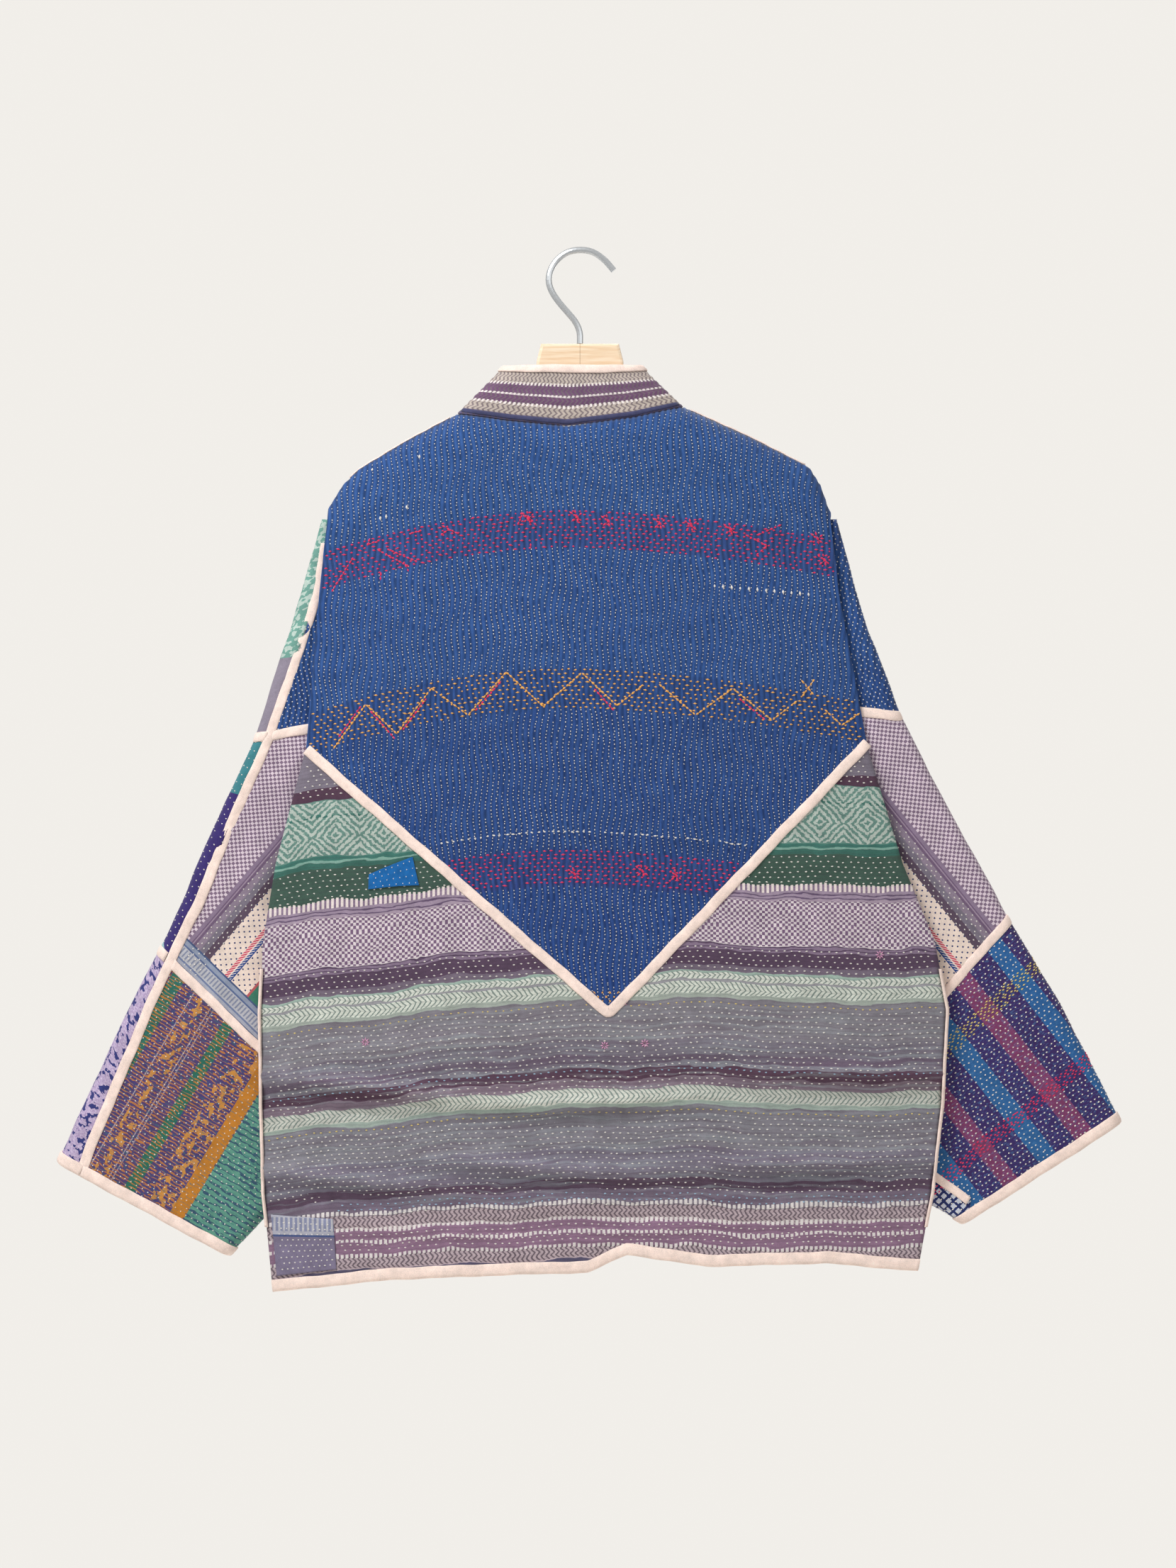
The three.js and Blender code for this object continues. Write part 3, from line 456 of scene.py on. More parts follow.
# Share of a panel's height, next to the shoulder, that has closer rows for the rounded seam
TOP_SHARE = 0.05
yoke_s = column_shares(V_SHARE, int(V_WIDTH / PUCKER * COLUMNS_PER_PUCKER))
yoke_f = np.concatenate([np.linspace(0, TOP_SHARE, 9, endpoint=False), np.linspace(TOP_SHARE, 1, 112)])
S, F = np.meshgrid(yoke_s, yoke_f)
shoulder_ends, v_ends, hem_ends = (SHOULDER[0], SHOULDER[-1]), (V_SEAM[0], V_SEAM[-1]), (HEM[0], HEM[-1])
top_x, low_x = span_x(SHOULDER, S), span_x(V_SEAM, S)
yoke_x = top_x + (low_x - top_x) * F + np.where(F < 1, side_shift(S, F, shoulder_ends, v_ends), 0)
yoke_z = shoulder_z(top_x) - SEAM + (v_z(low_x) + 2 * SEAM - shoulder_z(top_x)) * F
yoke_middle = np.stack([yoke_x, back_y(yoke_x, yoke_z), yoke_z], axis=-1)
yoke_uv = np.stack([yoke_x, -yoke_z + yoke_arch(yoke_x)], axis=-1)
# The ridge share of the puckers goes on the mesh, for painted shade in the valleys and painted light on the
# ridges.
yoke = shell("yoke", yoke_middle, yoke_uv, yoke_relief(yoke_x, yoke_z), 1, ridge_light=ridge_of(yoke_x, yoke_z))
print("yoke area", round(surface_area(yoke_middle), 4))
dress(yoke, ["back_yoke"], INDIGO)

# %% [markdown]
# The lower back is a loomed striped cloth. Its stripe table is in millimetres down the cloth, and v follows
# the stripes' slight arch. Some stripes are patterned: a knotted brocade, a basket check, chevron braids,
# herringbone.

# %% The striped cloth
# Two slow swells of the stripes as (middle, half width, height), and how much of them is left at each depth
SWELLS = [(-212, 100, -9.4), (136, 62, 5.6)]
SWELL_DEPTH, SWELL_SHARE = (540, 620, 740, 830), (0.4, 1, 1, 0.1)
STRIPE_CROWN = -61


def stripe_arch(x, z):
    """Rise of the stripes over their level place: an arch, swells that die out at the hem, a wobble."""
    left = -19.5 * (np.clip(STRIPE_CROWN - x, 0, None) / 206) ** 1.5
    right = -4 * (np.clip(x - STRIPE_CROWN, 0, None) / 361) ** 2
    wobble = 1.8 * np.sin(x / 41.0 + 0.6) + 1.1 * np.sin(x / 17.0 + 2.0)
    swell = sum(height * np.exp(-((x - middle) / half) ** 2) for middle, half, height in SWELLS)
    swell = swell * np.interp(-z, SWELL_DEPTH, SWELL_SHARE)
    return left + right + wobble + swell


STRIPES = [
    (400, "#7B7482"), (454, "#523A4C"), (463, "#6A8F86"), (477, "#3B6F66"), (479, "#668B82"),
    (513, "#3F756B"), (516, "#7FA79B"), (518, "#3B6A60"), (523, "#40594F"), (550, "#8B7790"),
    (556, "#9C8BA0"), (557.5, "#665370"), (558.8, "#9C8BA0"), (560.5, "#6C5976"), (561.8, "#A796A8"),
    (564, "#DDD2D8"), (604, "#5A4760"), (605.4, "#85738A"), (607, "#5A4760"), (608.4, "#85738A"),
    (610, "#57445A"), (623, "#75697A"), (629, "#9DB4AA"), (631, "#D6DAD2"), (637, "#9A9AA0"),
    (639, "#D3D8CF"), (649, "#A2ACA4")]
LOWER_STRIPES = [
    (653, "#838089"), (687, "#787380"), (701, "#665A6B"), (708, "#7C7A85"), (712, "#553C4E"),
    (721, "#7E6E7C"), (729, "#C6C8C0"), (741, "#9BAAA2"), (745, "#84828C"), (780, "#767180"),
    (806, "#574457"), (815, "#766A7C"), (826, "#8D8490"), (829, "#B8A7AE"), (841, "#8C6E87"),
    (865, "#B7A6AD"), (876, "#55516A")]
LOWER_START, LOWER_END = 653.0, 910
CHECK = 5.0


def striped_colour(tree, u, v):
    # the weft was beaten unevenly, so every stripe wanders a little
    wander = worked(tree, mottle(tree, u, v, 0.04, 0.1, 3.0), ("SUBTRACT", 0.5), ("MULTIPLY", 8.0))
    v = worked(tree, v, ("ADD", wander))
    upper, low = stripes(tree, v, STRIPES, LOWER_START), stripes(tree, v, LOWER_STRIPES, LOWER_END)
    colour = dyed(tree, worked(tree, v, ("GREATER_THAN", LOWER_START)), upper, low)
    # uneven dye along the stripes
    uneven = mottle(tree, u, v, 0.012, 0.3, 4.0)
    cool = node(tree, "ShaderNodeMapRange", {"Value": uneven, 1: 0.5, 2: 0.72, 3: 0.0, 4: 0.5}).outputs[0]
    warm = node(tree, "ShaderNodeMapRange", {"Value": uneven, 1: 0.5, 2: 0.28, 3: 0.0, 4: 0.45}).outputs[0]
    fields = worked(tree, within(tree, v, 653, 729), ("ADD", within(tree, v, 745, 829)))
    colour = dyed(tree, worked(tree, cool, ("MULTIPLY", fields)), colour, "#97A0A6")
    colour = dyed(tree, worked(tree, warm, ("MULTIPLY", fields)), colour, "#5E4C5F")
    # fine weft lines along every stripe
    weft = worked(tree, v, *repeat(3.3, 0.3), ("MULTIPLY", 0.16))
    colour = dyed(tree, weft, colour, "#3C3142")
    # basket check: small squares of pale and plum by turns
    parity = worked(tree, checked(tree, u, v, CHECK), ("MULTIPLY", within(tree, v, 564, 604)))
    colour = dyed(tree, parity, colour, "#6E5174", 0.95)
    # comb of pink and cream ticks
    comb = worked(tree, u, *repeat(4.2, 0.55))
    colour = dyed(tree, worked(tree, comb, ("MULTIPLY", within(tree, v, 549, 556))), colour, "#E6DAD8")
    # chevron braids
    for low, high in ((631, 637), (639, 649), (729, 741)):
        bend = worked(tree, v, ("SUBTRACT", (low + high) / 2), ("ABSOLUTE",))
        slant = worked(tree, u, ("ADD", bend), *repeat(4.4, 0.33))
        line = worked(tree, slant, ("MULTIPLY", within(tree, v, low, high)), ("MULTIPLY", 0.85))
        colour = dyed(tree, line, colour, "#667A75")
    # herringbone bands
    for low, high in ((829, 841), (865, 876)):
        zig = worked(tree, v, ("PINGPONG", 3.0))
        twill = worked(tree, u, ("ADD", zig), *repeat(4.2, 0.42))
        line = worked(tree, twill, ("MULTIPLY", within(tree, v, low, high)), ("MULTIPLY", 0.9))
        colour = dyed(tree, line, colour, "#625560")
    # pale line and ticks between the plum stripes near the hem
    tick = worked(tree, u, *repeat(4.2, 0.6))
    for low, high in ((825.5, 829), (840, 843), (851, 854), (863, 866)):
        colour = dyed(tree, worked(tree, tick, ("MULTIPLY", within(tree, v, low, high))), colour, "#DCD6D6")
    # knotted brocade: nested diamonds with a broken edge
    zone = within(tree, v, 464, 513)
    laid = node(tree, "ShaderNodeUVMap", uv_map="cloth").outputs[0]
    rough = node(tree, "ShaderNodeTexNoise", {"Vector": laid, "Scale": 0.45, "Detail": 3.0})
    diamond_u = worked(tree, u, ("PINGPONG", 21.0))
    diamond_v = worked(tree, v, ("SUBTRACT", 495.0), ("ABSOLUTE",))
    rings = worked(tree, diamond_u, ("ADD", diamond_v),
                   ("ADD", worked(tree, rough.outputs["Fac"], ("MULTIPLY", 7.0))), *repeat(6.2, 0.5))
    colour = dyed(tree, worked(tree, rings, ("MULTIPLY", zone), ("MULTIPLY", 0.75)), colour, "#C6CEC7")
    # painted light on the ridges of the buckles, and painted shade in the valleys between them
    buckle = node(tree, "ShaderNodeAttribute", attribute_name="ridge_light").outputs["Fac"]
    fold_shade_scale = node(tree, "ShaderNodeMapRange", {"Value": buckle, 1: 0.0, 2: 1.0, 3: 0.66, 4: 1.2})
    return node(tree, "ShaderNodeVectorMath", {0: colour, "Scale": fold_shade_scale.outputs[0]},
                operation="SCALE").outputs[0]


# Loom-striped cotton, faded unevenly along the weft: dull and dry, with the colour of each stripe drifting.
STRIPED = cotton("striped_quilted_cotton", striped_colour)

# %% [markdown]
# Here the running stitch goes in rows across the cloth, 4.4 mm apart, and draws it into low ribs along the
# rows.

# %% The lower back
ROW = 4.4


def row_relief(u, v):
    rib = 0.5 + 0.5 * np.cos(2 * np.pi * (v + 0.7 * np.sin(u / 23.0) * np.sin(v / 31.0)) / (2 * ROW))
    return 0.75 * rib * (0.7 + 0.3 * np.sin(u / 19.0 + v / 27.0))


def fold_light_share(crease):
    """Share of painted light, from 0 for painted shade in the valleys to 1 on the ridges of the folds."""
    return np.clip(0.6 + crease / 11.0, 0, 1)


lower_s = column_shares(V_SHARE, 150)
lower_f = np.linspace(0, 1, 200)
S, F = np.meshgrid(lower_s, lower_f)
top_x, low_x = span_x(V_SEAM, S), span_x(HEM, S)
lower_x = top_x + (low_x - top_x) * F + np.where(F > 0, side_shift(S, F, v_ends, hem_ends), 0)
lower_z = v_z(top_x) - SEAM + (hem_z(low_x) + SEAM - v_z(top_x)) * F
lower_middle = np.stack([lower_x, back_y(lower_x, lower_z), lower_z], axis=-1)
lower_v = -lower_z + stripe_arch(lower_x, lower_z)
lower_uv = np.stack([lower_x, lower_v], axis=-1)
lower_crease = fold_sum(lower_x, lower_z, CREASES)
# The fold share goes on the mesh, for painted shade in the valleys of the folds and painted light on their
# ridges.
lower = shell("lower_back", lower_middle, lower_uv, row_relief(lower_x, lower_v) + lower_crease, 1,
              ridge_light=fold_light_share(lower_crease))
print("lower back area", round(surface_area(lower_middle), 4))
dress(lower, ["back_lower"], STRIPED)

# %% [markdown]
# Each sleeve is a wide flat tube that lies a little in front of the back. Its walls follow the solids'
# loops: flat, then round the outer edge. The UV map is the cut cloth laid flat in the plane of the sleeve,
# so stripes run true.

# %% Sleeve loops
LEFT_SLEEVE = {
    "upper": [(-222.5, -233, -213.7, -233, 1.5, 3.6), (-252, -336, -220.4, -334, 2, 7),
              (-281, -424, -223, -414, 2.2, 8)],
    "middle": [(-281.5, -425, -223.1, -415, 2.2, 8), (-318, -502, -227, -520, 9, 8.4),
               (-342, -560, -244, -620, 10.5, 8.5), (-366, -610, -262, -711, 11.5, 8.5)],
    "cuff": [(-366.6, -611, -262.3, -712, 11.5, 8.5), (-388, -651, -266, -764, 11.8, 9),
             (-440, -762, -270, -838, 12, 9.6), (-455, -795, -306, -876, 12, 10)]}
RIGHT_SLEEVE = {
    "upper": [(225, -233, 215.7, -233, 1.5, 3.6), (252, -332, 226.2, -331, 2, 7),
              (281, -405, 236.2, -400, 2.2, 8)],
    "middle": [(281.6, -406, 236.6, -401, 2.2, 8), (329, -496, 244, -520, 9, 8.4),
               (353, -540, 268, -606, 10.5, 8.5), (377, -583, 292, -680, 11.5, 8.5)],
    "cuff": [(377.6, -584, 292.4, -681, 11.5, 8.5), (421, -655, 302, -757, 11.8, 9),
             (464, -738, 305, -829, 12, 9.6), (475, -760, 338, -848, 12, 10)]}
SIDES = (("left", -1), ("right", 1))
SLEEVES = (("left", LEFT_SLEEVE, -1), ("right", RIGHT_SLEEVE, 1))
PARTS, WALLS = ("upper", "middle", "cuff"), ("back", "front")
TOP_SEAM_INSET = 17
SEAM_DRIFT, MIDDLE_HALF = 7.0, 8.4
UNDER_SEAM = 0.65
SLEEVE_CREASES = [
    (-268, -372, 1.6, 60, 7, 1.6), (-238, -330, 3.4, 90, 6, 1.4), (-300, -500, 1.1, 110, 9, 1.6),
    (-262, -560, 1.4, 80, 8, -1.4), (-350, -690, 1.5, 110, 10, 1.5), (-320, -770, 1.5, 90, 11, -1.4),
    (262, -360, -2.2, 60, 7, 1.6), (243, -320, -3.2, 90, 6, 1.4), (300, -480, -1.2, 110, 9, 1.6),
    (270, -560, -1.4, 80, 8, -1.4), (380, -680, -1.3, 110, 10, 1.5), (350, -750, -1.4, 90, 11, -1.4)]


def section_at(sections, place):
    k = min(int(place), len(sections) - 2)
    f = place - k
    a, b = np.array(sections[k], float), np.array(sections[k + 1], float)
    mixed_section = a + (b - a) * f
    mixed_section[4] = a[4] + (b[4] - a[4]) * smooth(f)
    return mixed_section


def loop_at(section, closed):
    """Marks of one loop round the sleeve, and functions from distance along it to point and flat cloth."""
    outer, inner = section[0:2], section[2:4]
    width = np.linalg.norm(outer - inner)
    aim = (outer - inner) / width
    r, y = section[5], section[4]
    flat_start = r if closed else 0.0
    flat = width - r - flat_start
    start = np.pi * r / 2 if closed else 0.0
    back_end = start + flat
    round_end = back_end + np.pi * r
    front_end = round_end + flat

    def at(d):
        d = np.asarray(d, float)
        a = np.select(
            [d < start, d < back_end, d < round_end, d <= front_end],
            [r - r * np.cos(d / r), flat_start + d - start, width - r + r * np.sin((d - back_end) / r),
             width - r - (d - round_end)], r - r * np.sin((d - front_end) / r))
        depth = np.select(
            [d < start, d < back_end, d < round_end, d <= front_end],
            [-r * np.sin(d / r), -r + 0 * d, -r * np.cos((d - back_end) / r), r + 0 * d],
            r * np.cos((d - front_end) / r))
        return np.stack([inner[0] + aim[0] * a, y + depth, inner[1] + aim[1] * a], axis=-1)

    def laid(d, front):
        a = width - r - (d - round_end) if front else flat_start + d - start
        return np.stack([inner[0] + aim[0] * a, -(inner[1] + aim[1] * a)], axis=-1)

    drift = SEAM_DRIFT * max(0.0, r - MIDDLE_HALF)
    seam_inset = min(TOP_SEAM_INSET + drift - np.pi * r / 2, flat / 2)
    return {"at": at, "laid": laid, "back_end": back_end, "round_end": round_end,
            "total": front_end + start, "seam_inset": seam_inset}


def wall_limits(loop, side, wall, closed):
    seam = loop["back_end"] - loop["seam_inset"] if side < 0 else loop["round_end"] + loop["seam_inset"]
    end = UNDER_SEAM if closed else SEAM / 2
    return (end, seam - SEAM / 2) if wall == "back" else (seam + SEAM / 2, loop["total"] - end)


def sleeve_wall(form, side, part, wall, rows, columns):
    sections, closed = form[part], part != "upper"
    points, laid = [], []
    for place in np.linspace(0, len(sections) - 1, rows):
        loop = loop_at(section_at(sections, place), closed)
        low, high = wall_limits(loop, side, wall, closed)
        d = np.linspace(low, high, columns)
        points.append(loop["at"](d))
        laid.append(loop["laid"](d, wall == "front"))
    return np.array(points), np.array(laid)


def sleeve_relief(points, laid):
    x, z = points[..., 0], points[..., 2]
    ripple = 0.25 * np.sin(laid[..., 0] / 5.1 + np.sin(laid[..., 1] / 9))
    return 0.9 * fold_sum(x, z, SLEEVE_CREASES) + ripple


# %% [markdown]
# The sleeves' cloths are the loudest: lavender basket check beside plum stripes and a cream cloth with navy
# dots, a broken-striped ochre and purple cuff with an emerald stripe, and a purple cuff with blue and
# magenta stripes. Each table holds distances in millimetres across the stripes, from a point on the upper
# outer corner of the panel.

# %% Sleeve cloths
# Where the stripes of a panel start, and the direction in which they run
LEFT_CUFF, RIGHT_CUFF = ((-358, 612), (-0.515, 0.857)), ((377.6, 584), (0.616, 0.788))
LEFT_MIDDLE, RIGHT_MIDDLE = ((-233, 475), (-0.65, 0.76)), ((253, 452), (0.63, 0.775))
LEFT_STRIP = ((-366, 610), (104, 101))


def slanted(tree, u, v, origin, run):
    """Distance along and across stripes that run in direction run (x, down) from origin."""
    length = float(np.hypot(*run))
    tx, ty = run[0] / length, run[1] / length
    du = worked(tree, u, ("SUBTRACT", float(origin[0])))
    dv = worked(tree, v, ("SUBTRACT", float(origin[1])))
    along = worked(tree, worked(tree, du, ("MULTIPLY", tx)), ("ADD", worked(tree, dv, ("MULTIPLY", ty))))
    aside = worked(tree, worked(tree, du, ("MULTIPLY", abs(ty))),
                   ("ADD", worked(tree, dv, ("MULTIPLY", abs(tx)))))
    if tx > 0:
        aside = worked(tree, worked(tree, dv, ("MULTIPLY", tx)),
                       ("SUBTRACT", worked(tree, du, ("MULTIPLY", ty))))
    return along, aside


def dots(tree, along, aside, pitch_along, pitch_aside, radius):
    """Round dots in a brick pattern."""
    row = worked(tree, aside, ("MULTIPLY", 1 / pitch_aside), ("FLOOR",))
    shifted = worked(tree, row, ("MULTIPLY", 0.5), ("FRACT",), ("MULTIPLY", pitch_along))
    a = worked(tree, worked(tree, along, ("ADD", shifted)), ("MULTIPLY", 1 / pitch_along), ("FRACT",),
               ("SUBTRACT", 0.5), ("MULTIPLY", pitch_along), ("POWER", 2.0))
    b = worked(tree, aside, ("MULTIPLY", 1 / pitch_aside), ("FRACT",), ("SUBTRACT", 0.5),
               ("MULTIPLY", pitch_aside), ("POWER", 2.0))
    return worked(tree, a, ("ADD", b), ("LESS_THAN", radius * radius))


def middle_colour(origin, run, strip=None):
    def colour(tree, u, v):
        along, aside = slanted(tree, u, v, origin, run)
        base = stripes(tree, aside, [
            (-140, "#D9CAD6"), (0, "#8A7890"), (2.2, "#6F5A77"), (3.6, "#9A889C"), (5.4, "#6E5A75"),
            (7, "#8A7C8E"), (13, "#77707F"), (18, "#5A4A5C"), (25, "#EAD8CD"), (43.5, "#CC4F66"),
            (46.6, "#E7D3C9"), (47.2, "#2F4A8A"), (50.4, "#EAD8CD"), (70, "#B4595F"), (72, "#3D7A66")], 140)
        weave = worked(tree, checked(tree, along, aside, CHECK),
                       ("MULTIPLY", worked(tree, aside, ("LESS_THAN", 0.0))))
        base = dyed(tree, weave, base, "#6F5574", 0.9)
        cream = worked(tree, within(tree, aside, 25, 44), ("ADD", within(tree, aside, 51, 70)))
        navy = worked(tree, dots(tree, along, aside, 6.4, 3.4, 0.8), ("MULTIPLY", cream))
        base = dyed(tree, navy, base, "#3B4470")
        lean = worked(tree, aside, ("MULTIPLY", 1.4), ("ADD", along))
        twist = worked(tree, lean, *repeat(3.2, 0.28), ("MULTIPLY", within(tree, aside, 43.5, 50.4)))
        base = dyed(tree, twist, base, "#F0E4DC")
        if strip:
            edge_along, edge_aside = slanted(tree, u, v, *strip)
            band = worked(tree, edge_aside, ("GREATER_THAN", -25.0))
            cloth_strip = stripes(tree, edge_aside, [
                (-25, "#46587F"), (-23.5, "#8E98AE"), (-20, "#5A6A92"), (-18.6, "#B5B6BE"), (-9, "#6D7A9E"),
                (-7.4, "#A6AABA"), (-4.6, "#44557E")], 40)
            loops = worked(tree, edge_along, *repeat(3.4, 0.42),
                           ("MULTIPLY", within(tree, edge_aside, -17.6, -10)))
            cloth_strip = dyed(tree, loops, cloth_strip, "#5F6C90", 0.7)
            base = dyed(tree, band, base, cloth_strip)
        return base
    return colour


# Basket-checked lavender cotton with a cream strip: soft and chalky, its pale
# squares standing a little brighter.
LAVENDER_LEFT = cotton("lavender_check_cotton_left", middle_colour(*LEFT_MIDDLE, LEFT_STRIP))
LAVENDER_RIGHT = cotton("lavender_check_cotton_right", middle_colour(*RIGHT_MIDDLE))


def ochre_colour(tree, u, v):
    along, aside = slanted(tree, u, v, *LEFT_CUFF)
    base = stripes(tree, aside, [
        (-60, "#6A4A72"), (12, "#2F6B5C"), (24, "#4A3D74"), (36, "#A99AA6"), (37.4, "#513F72"),
        (55, "#A596A2"), (56.2, "#4D3E70"), (58.4, "#9B8C9E"), (59.4, "#503E70"), (72, "#2C6A58"),
        (82, "#4B3E74"), (117, "#B9792B"), (130, "#5E9686")], 200)
    flecks = mottle(tree, along, aside, 0.42, 0.13, 1.5)
    ribs = worked(tree, along, ("ADD", worked(tree, flecks, ("MULTIPLY", 5.0))), ("MULTIPLY", 1 / 2.9),
                  ("FRACT",))
    orange = worked(tree, ribs, ("LESS_THAN", 0.36),
                    ("MULTIPLY", worked(tree, flecks, ("GREATER_THAN", 0.44))))
    orange = worked(tree, orange, ("MULTIPLY", worked(tree, aside, ("LESS_THAN", 117.0))))
    base = dyed(tree, orange, base, "#C07D38", 0.85)
    blotch = worked(tree, mottle(tree, along, aside, 0.12, 0.16, 2.5), ("GREATER_THAN", 0.545))
    clusters = worked(tree, within(tree, aside, 94, 118), ("ADD", within(tree, aside, 40, 54)))
    base = dyed(tree, worked(tree, blotch, ("MULTIPLY", clusters), ("MULTIPLY", 0.8)), base, "#D2943C")
    teal = worked(tree, ribs, ("GREATER_THAN", 0.78), ("MULTIPLY", worked(tree, flecks, ("LESS_THAN", 0.5))))
    base = dyed(tree, teal, base, "#2F6C74", 0.55)
    lines = worked(tree, along, ("ADD", worked(tree, flecks, ("MULTIPLY", 6.0))), *repeat(5.0, 0.3),
                   ("MULTIPLY", worked(tree, aside, ("GREATER_THAN", 130.0))))
    return dyed(tree, lines, base, "#2B3A66", 0.8)


# The right cuff's inner corner is turned back along this line, and shows a lining
# of navy and white diamonds.
TURNED_LINE = ((308.5, 804.6), (341.9, 828.4))
DIAMOND = 8.5


def turned_lining(tree, u, v, ground):
    (start_u, start_v), (end_u, end_v) = TURNED_LINE
    slope = (end_v - start_v) / (end_u - start_u)
    fall = worked(tree, u, ("SUBTRACT", start_u), ("MULTIPLY", slope), ("ADD", start_v))
    turned = worked(tree, v, ("GREATER_THAN", fall),
                    ("MULTIPLY", worked(tree, u, ("LESS_THAN", end_u + 1.5))))
    rising = worked(tree, u, ("ADD", v), *repeat(DIAMOND, 0.36))
    falling = worked(tree, u, ("SUBTRACT", v), *repeat(DIAMOND, 0.36))
    lattice = worked(tree, rising, ("MAXIMUM", falling))
    return dyed(tree, turned, ground, dyed(tree, lattice, "#C6CCDC", "#242F66"))


def purple_colour(tree, u, v):
    along, aside = slanted(tree, u, v, *RIGHT_CUFF)
    base = stripes(tree, aside, [
        (-80, "#3E2C66"), (14, "#2A5F9A"), (30.5, "#3B2A62"), (55, "#7B3A64"), (72, "#3B2C66"),
        (92, "#2C5F96"), (110, "#3A2B63"), (132, "#793A63"), (147, "#3A2B63"), (167, "#2C5F96")], 240)
    streak = worked(tree, mottle(tree, along, aside, 0.9, 0.2), ("GREATER_THAN", 0.57), ("MULTIPLY", 0.35))
    return dyed(tree, streak, base, "#4C7FB0")


# Broken-striped ochre cotton: short floats of orange over plum, dry and rough, with no gloss at all.
# Purple cotton with blue and magenta stripes: deep and dull, and bluer where the dye has rubbed off.
OCHRE = cotton("ochre_broken_stripe_cotton", ochre_colour)
PURPLE = cotton("purple_striped_cotton", purple_colour)
PURPLE_TURNED = cotton(
    "purple_striped_cotton_turned", lambda tree, u, v: turned_lining(tree, u, v, purple_colour(tree, u, v)))


def front_left_colour(tree, u, v):
    base = stripes(tree, v, [
        (200, "#6E9E93"), (355, "#8B8393"), (424, "#3E7F89"), (470, "#3A2E6E"), (594, "#9CC0C6"),
        (602, "#3A2E6E")], 900)
    curl = worked(tree, mottle(tree, u, v, 0.22, 0.22, 1.0), ("GREATER_THAN", 0.52),
                  ("MULTIPLY", worked(tree, v, ("LESS_THAN", 355.0))))
    return dyed(tree, curl, base, "#C9D6CF", 0.7)


def marked_lavender(tree, u, v):
    speck = worked(tree, mottle(tree, u, v, 0.5, 0.7), ("SUBTRACT", 0.35), ("MULTIPLY", 3.0))
    base = dyed(tree, speck, "#A48FB8", "#CDBFD8")
    blocks = worked(tree, mottle(tree, u, v, 0.16, 0.2), ("GREATER_THAN", 0.55))
    return dyed(tree, blocks, base, "#343A78")


# Pieced brocade and navy cotton: flatter than the back, with a few broad bands.
# Lavender cotton with dark woven marks: pale and slubby, so the marks stand out like ink.
FRONT_LEFT_CLOTH = cotton("brocade_and_navy_cotton", front_left_colour)
MARKED_LAVENDER = cotton("marked_lavender_cotton", marked_lavender)

# %% [markdown]
# Three panels make a sleeve, and each has a back wall and a front wall that meet at the tape along its top.
# A tube could be unwrapped instead, but a grid for each wall keeps every cut piece an object of its own.

# %% Sleeve panels
SLEEVE_ROWS = {"upper": 60, "middle": 72, "cuff": 84}
panels, panel_middles = {}, {}
for label, form, side in SLEEVES:
    for part in PARTS:
        for wall in WALLS:
            points, laid = sleeve_wall(form, side, part, wall, SLEEVE_ROWS[part],
                                       30 if part == "upper" else 56)
            relief = sleeve_relief(points, laid)
            name = f"{label}_{part}_{wall}"
            panel_middles[name] = points
            # ridge share for the painted shade in the puckers' valleys and painted light on their ridges
            ridge = ridge_of(points[..., 0], points[..., 2])
            panels[name] = shell(f"sleeve_{name}_cloth", points, laid, relief, side, ridge_light=ridge)
            print(name, "area", round(surface_area(points), 4))
SLEEVE_CLOTHS = {
    "left_upper_back": ("indigo_cloth", INDIGO), "left_upper_front": ("lavender_cloth", FRONT_LEFT_CLOTH),
    "left_middle_back": ("lavender_cloth", LAVENDER_LEFT),
    "left_middle_front": ("lavender_cloth", FRONT_LEFT_CLOTH), "left_cuff_back": ("ochre_cloth", OCHRE),
    "left_cuff_front": ("lavender_cloth", MARKED_LAVENDER), "right_upper_back": ("indigo_cloth", INDIGO),
    "right_upper_front": ("indigo_cloth", INDIGO), "right_middle_back": ("lavender_cloth", LAVENDER_RIGHT),
    "right_middle_front": ("lavender_cloth", LAVENDER_RIGHT),
    "right_cuff_back": ("purple_cloth", PURPLE_TURNED), "right_cuff_front": ("purple_cloth", PURPLE)}
for name, (slot, material) in SLEEVE_CLOTHS.items():
    dress(panels[name], [f"sleeve_{name}"], material)

# %% [markdown]
# The fronts face away. They are cut from the same striped cloth and hang a little open at the centre.
# The collar is a stand band of herringbone stripes, sewn round the neck and open at the front.

# %% Fronts and collar
CENTRE, FRONT_OPENING = -2, 14


def front_grid(side, rows, columns):
    top_rows, low_rows = np.linspace(0, TOP_SHARE, 12)[:-1], np.linspace(TOP_SHARE, 1, rows)
    u, f = np.meshgrid(np.linspace(0, 1, columns), np.concatenate([top_rows, low_rows]))
    centre_x = CENTRE + side * FRONT_OPENING / 2
    end = 0 if side < 0 else -1
    top_x = centre_x + (SHOULDER[end][0] - side * 5 - centre_x) * u
    hem_x = centre_x + (HEM[end][0] - centre_x) * u
    top_z = shoulder_z(top_x) - SEAM - 2 * (1 - u)
    z = top_z + (hem_z(hem_x) + 1 - top_z) * f
    edge = np.interp(z, FRONT_Z, FRONT_LEFT if side < 0 else FRONT_RIGHT)
    x = np.where(f == 0, top_x, centre_x + (edge - centre_x) * u)
    x = top_x + (x - top_x) * smooth(f / TOP_SHARE)
    return np.stack([x, front_y(x, z), z], axis=-1)


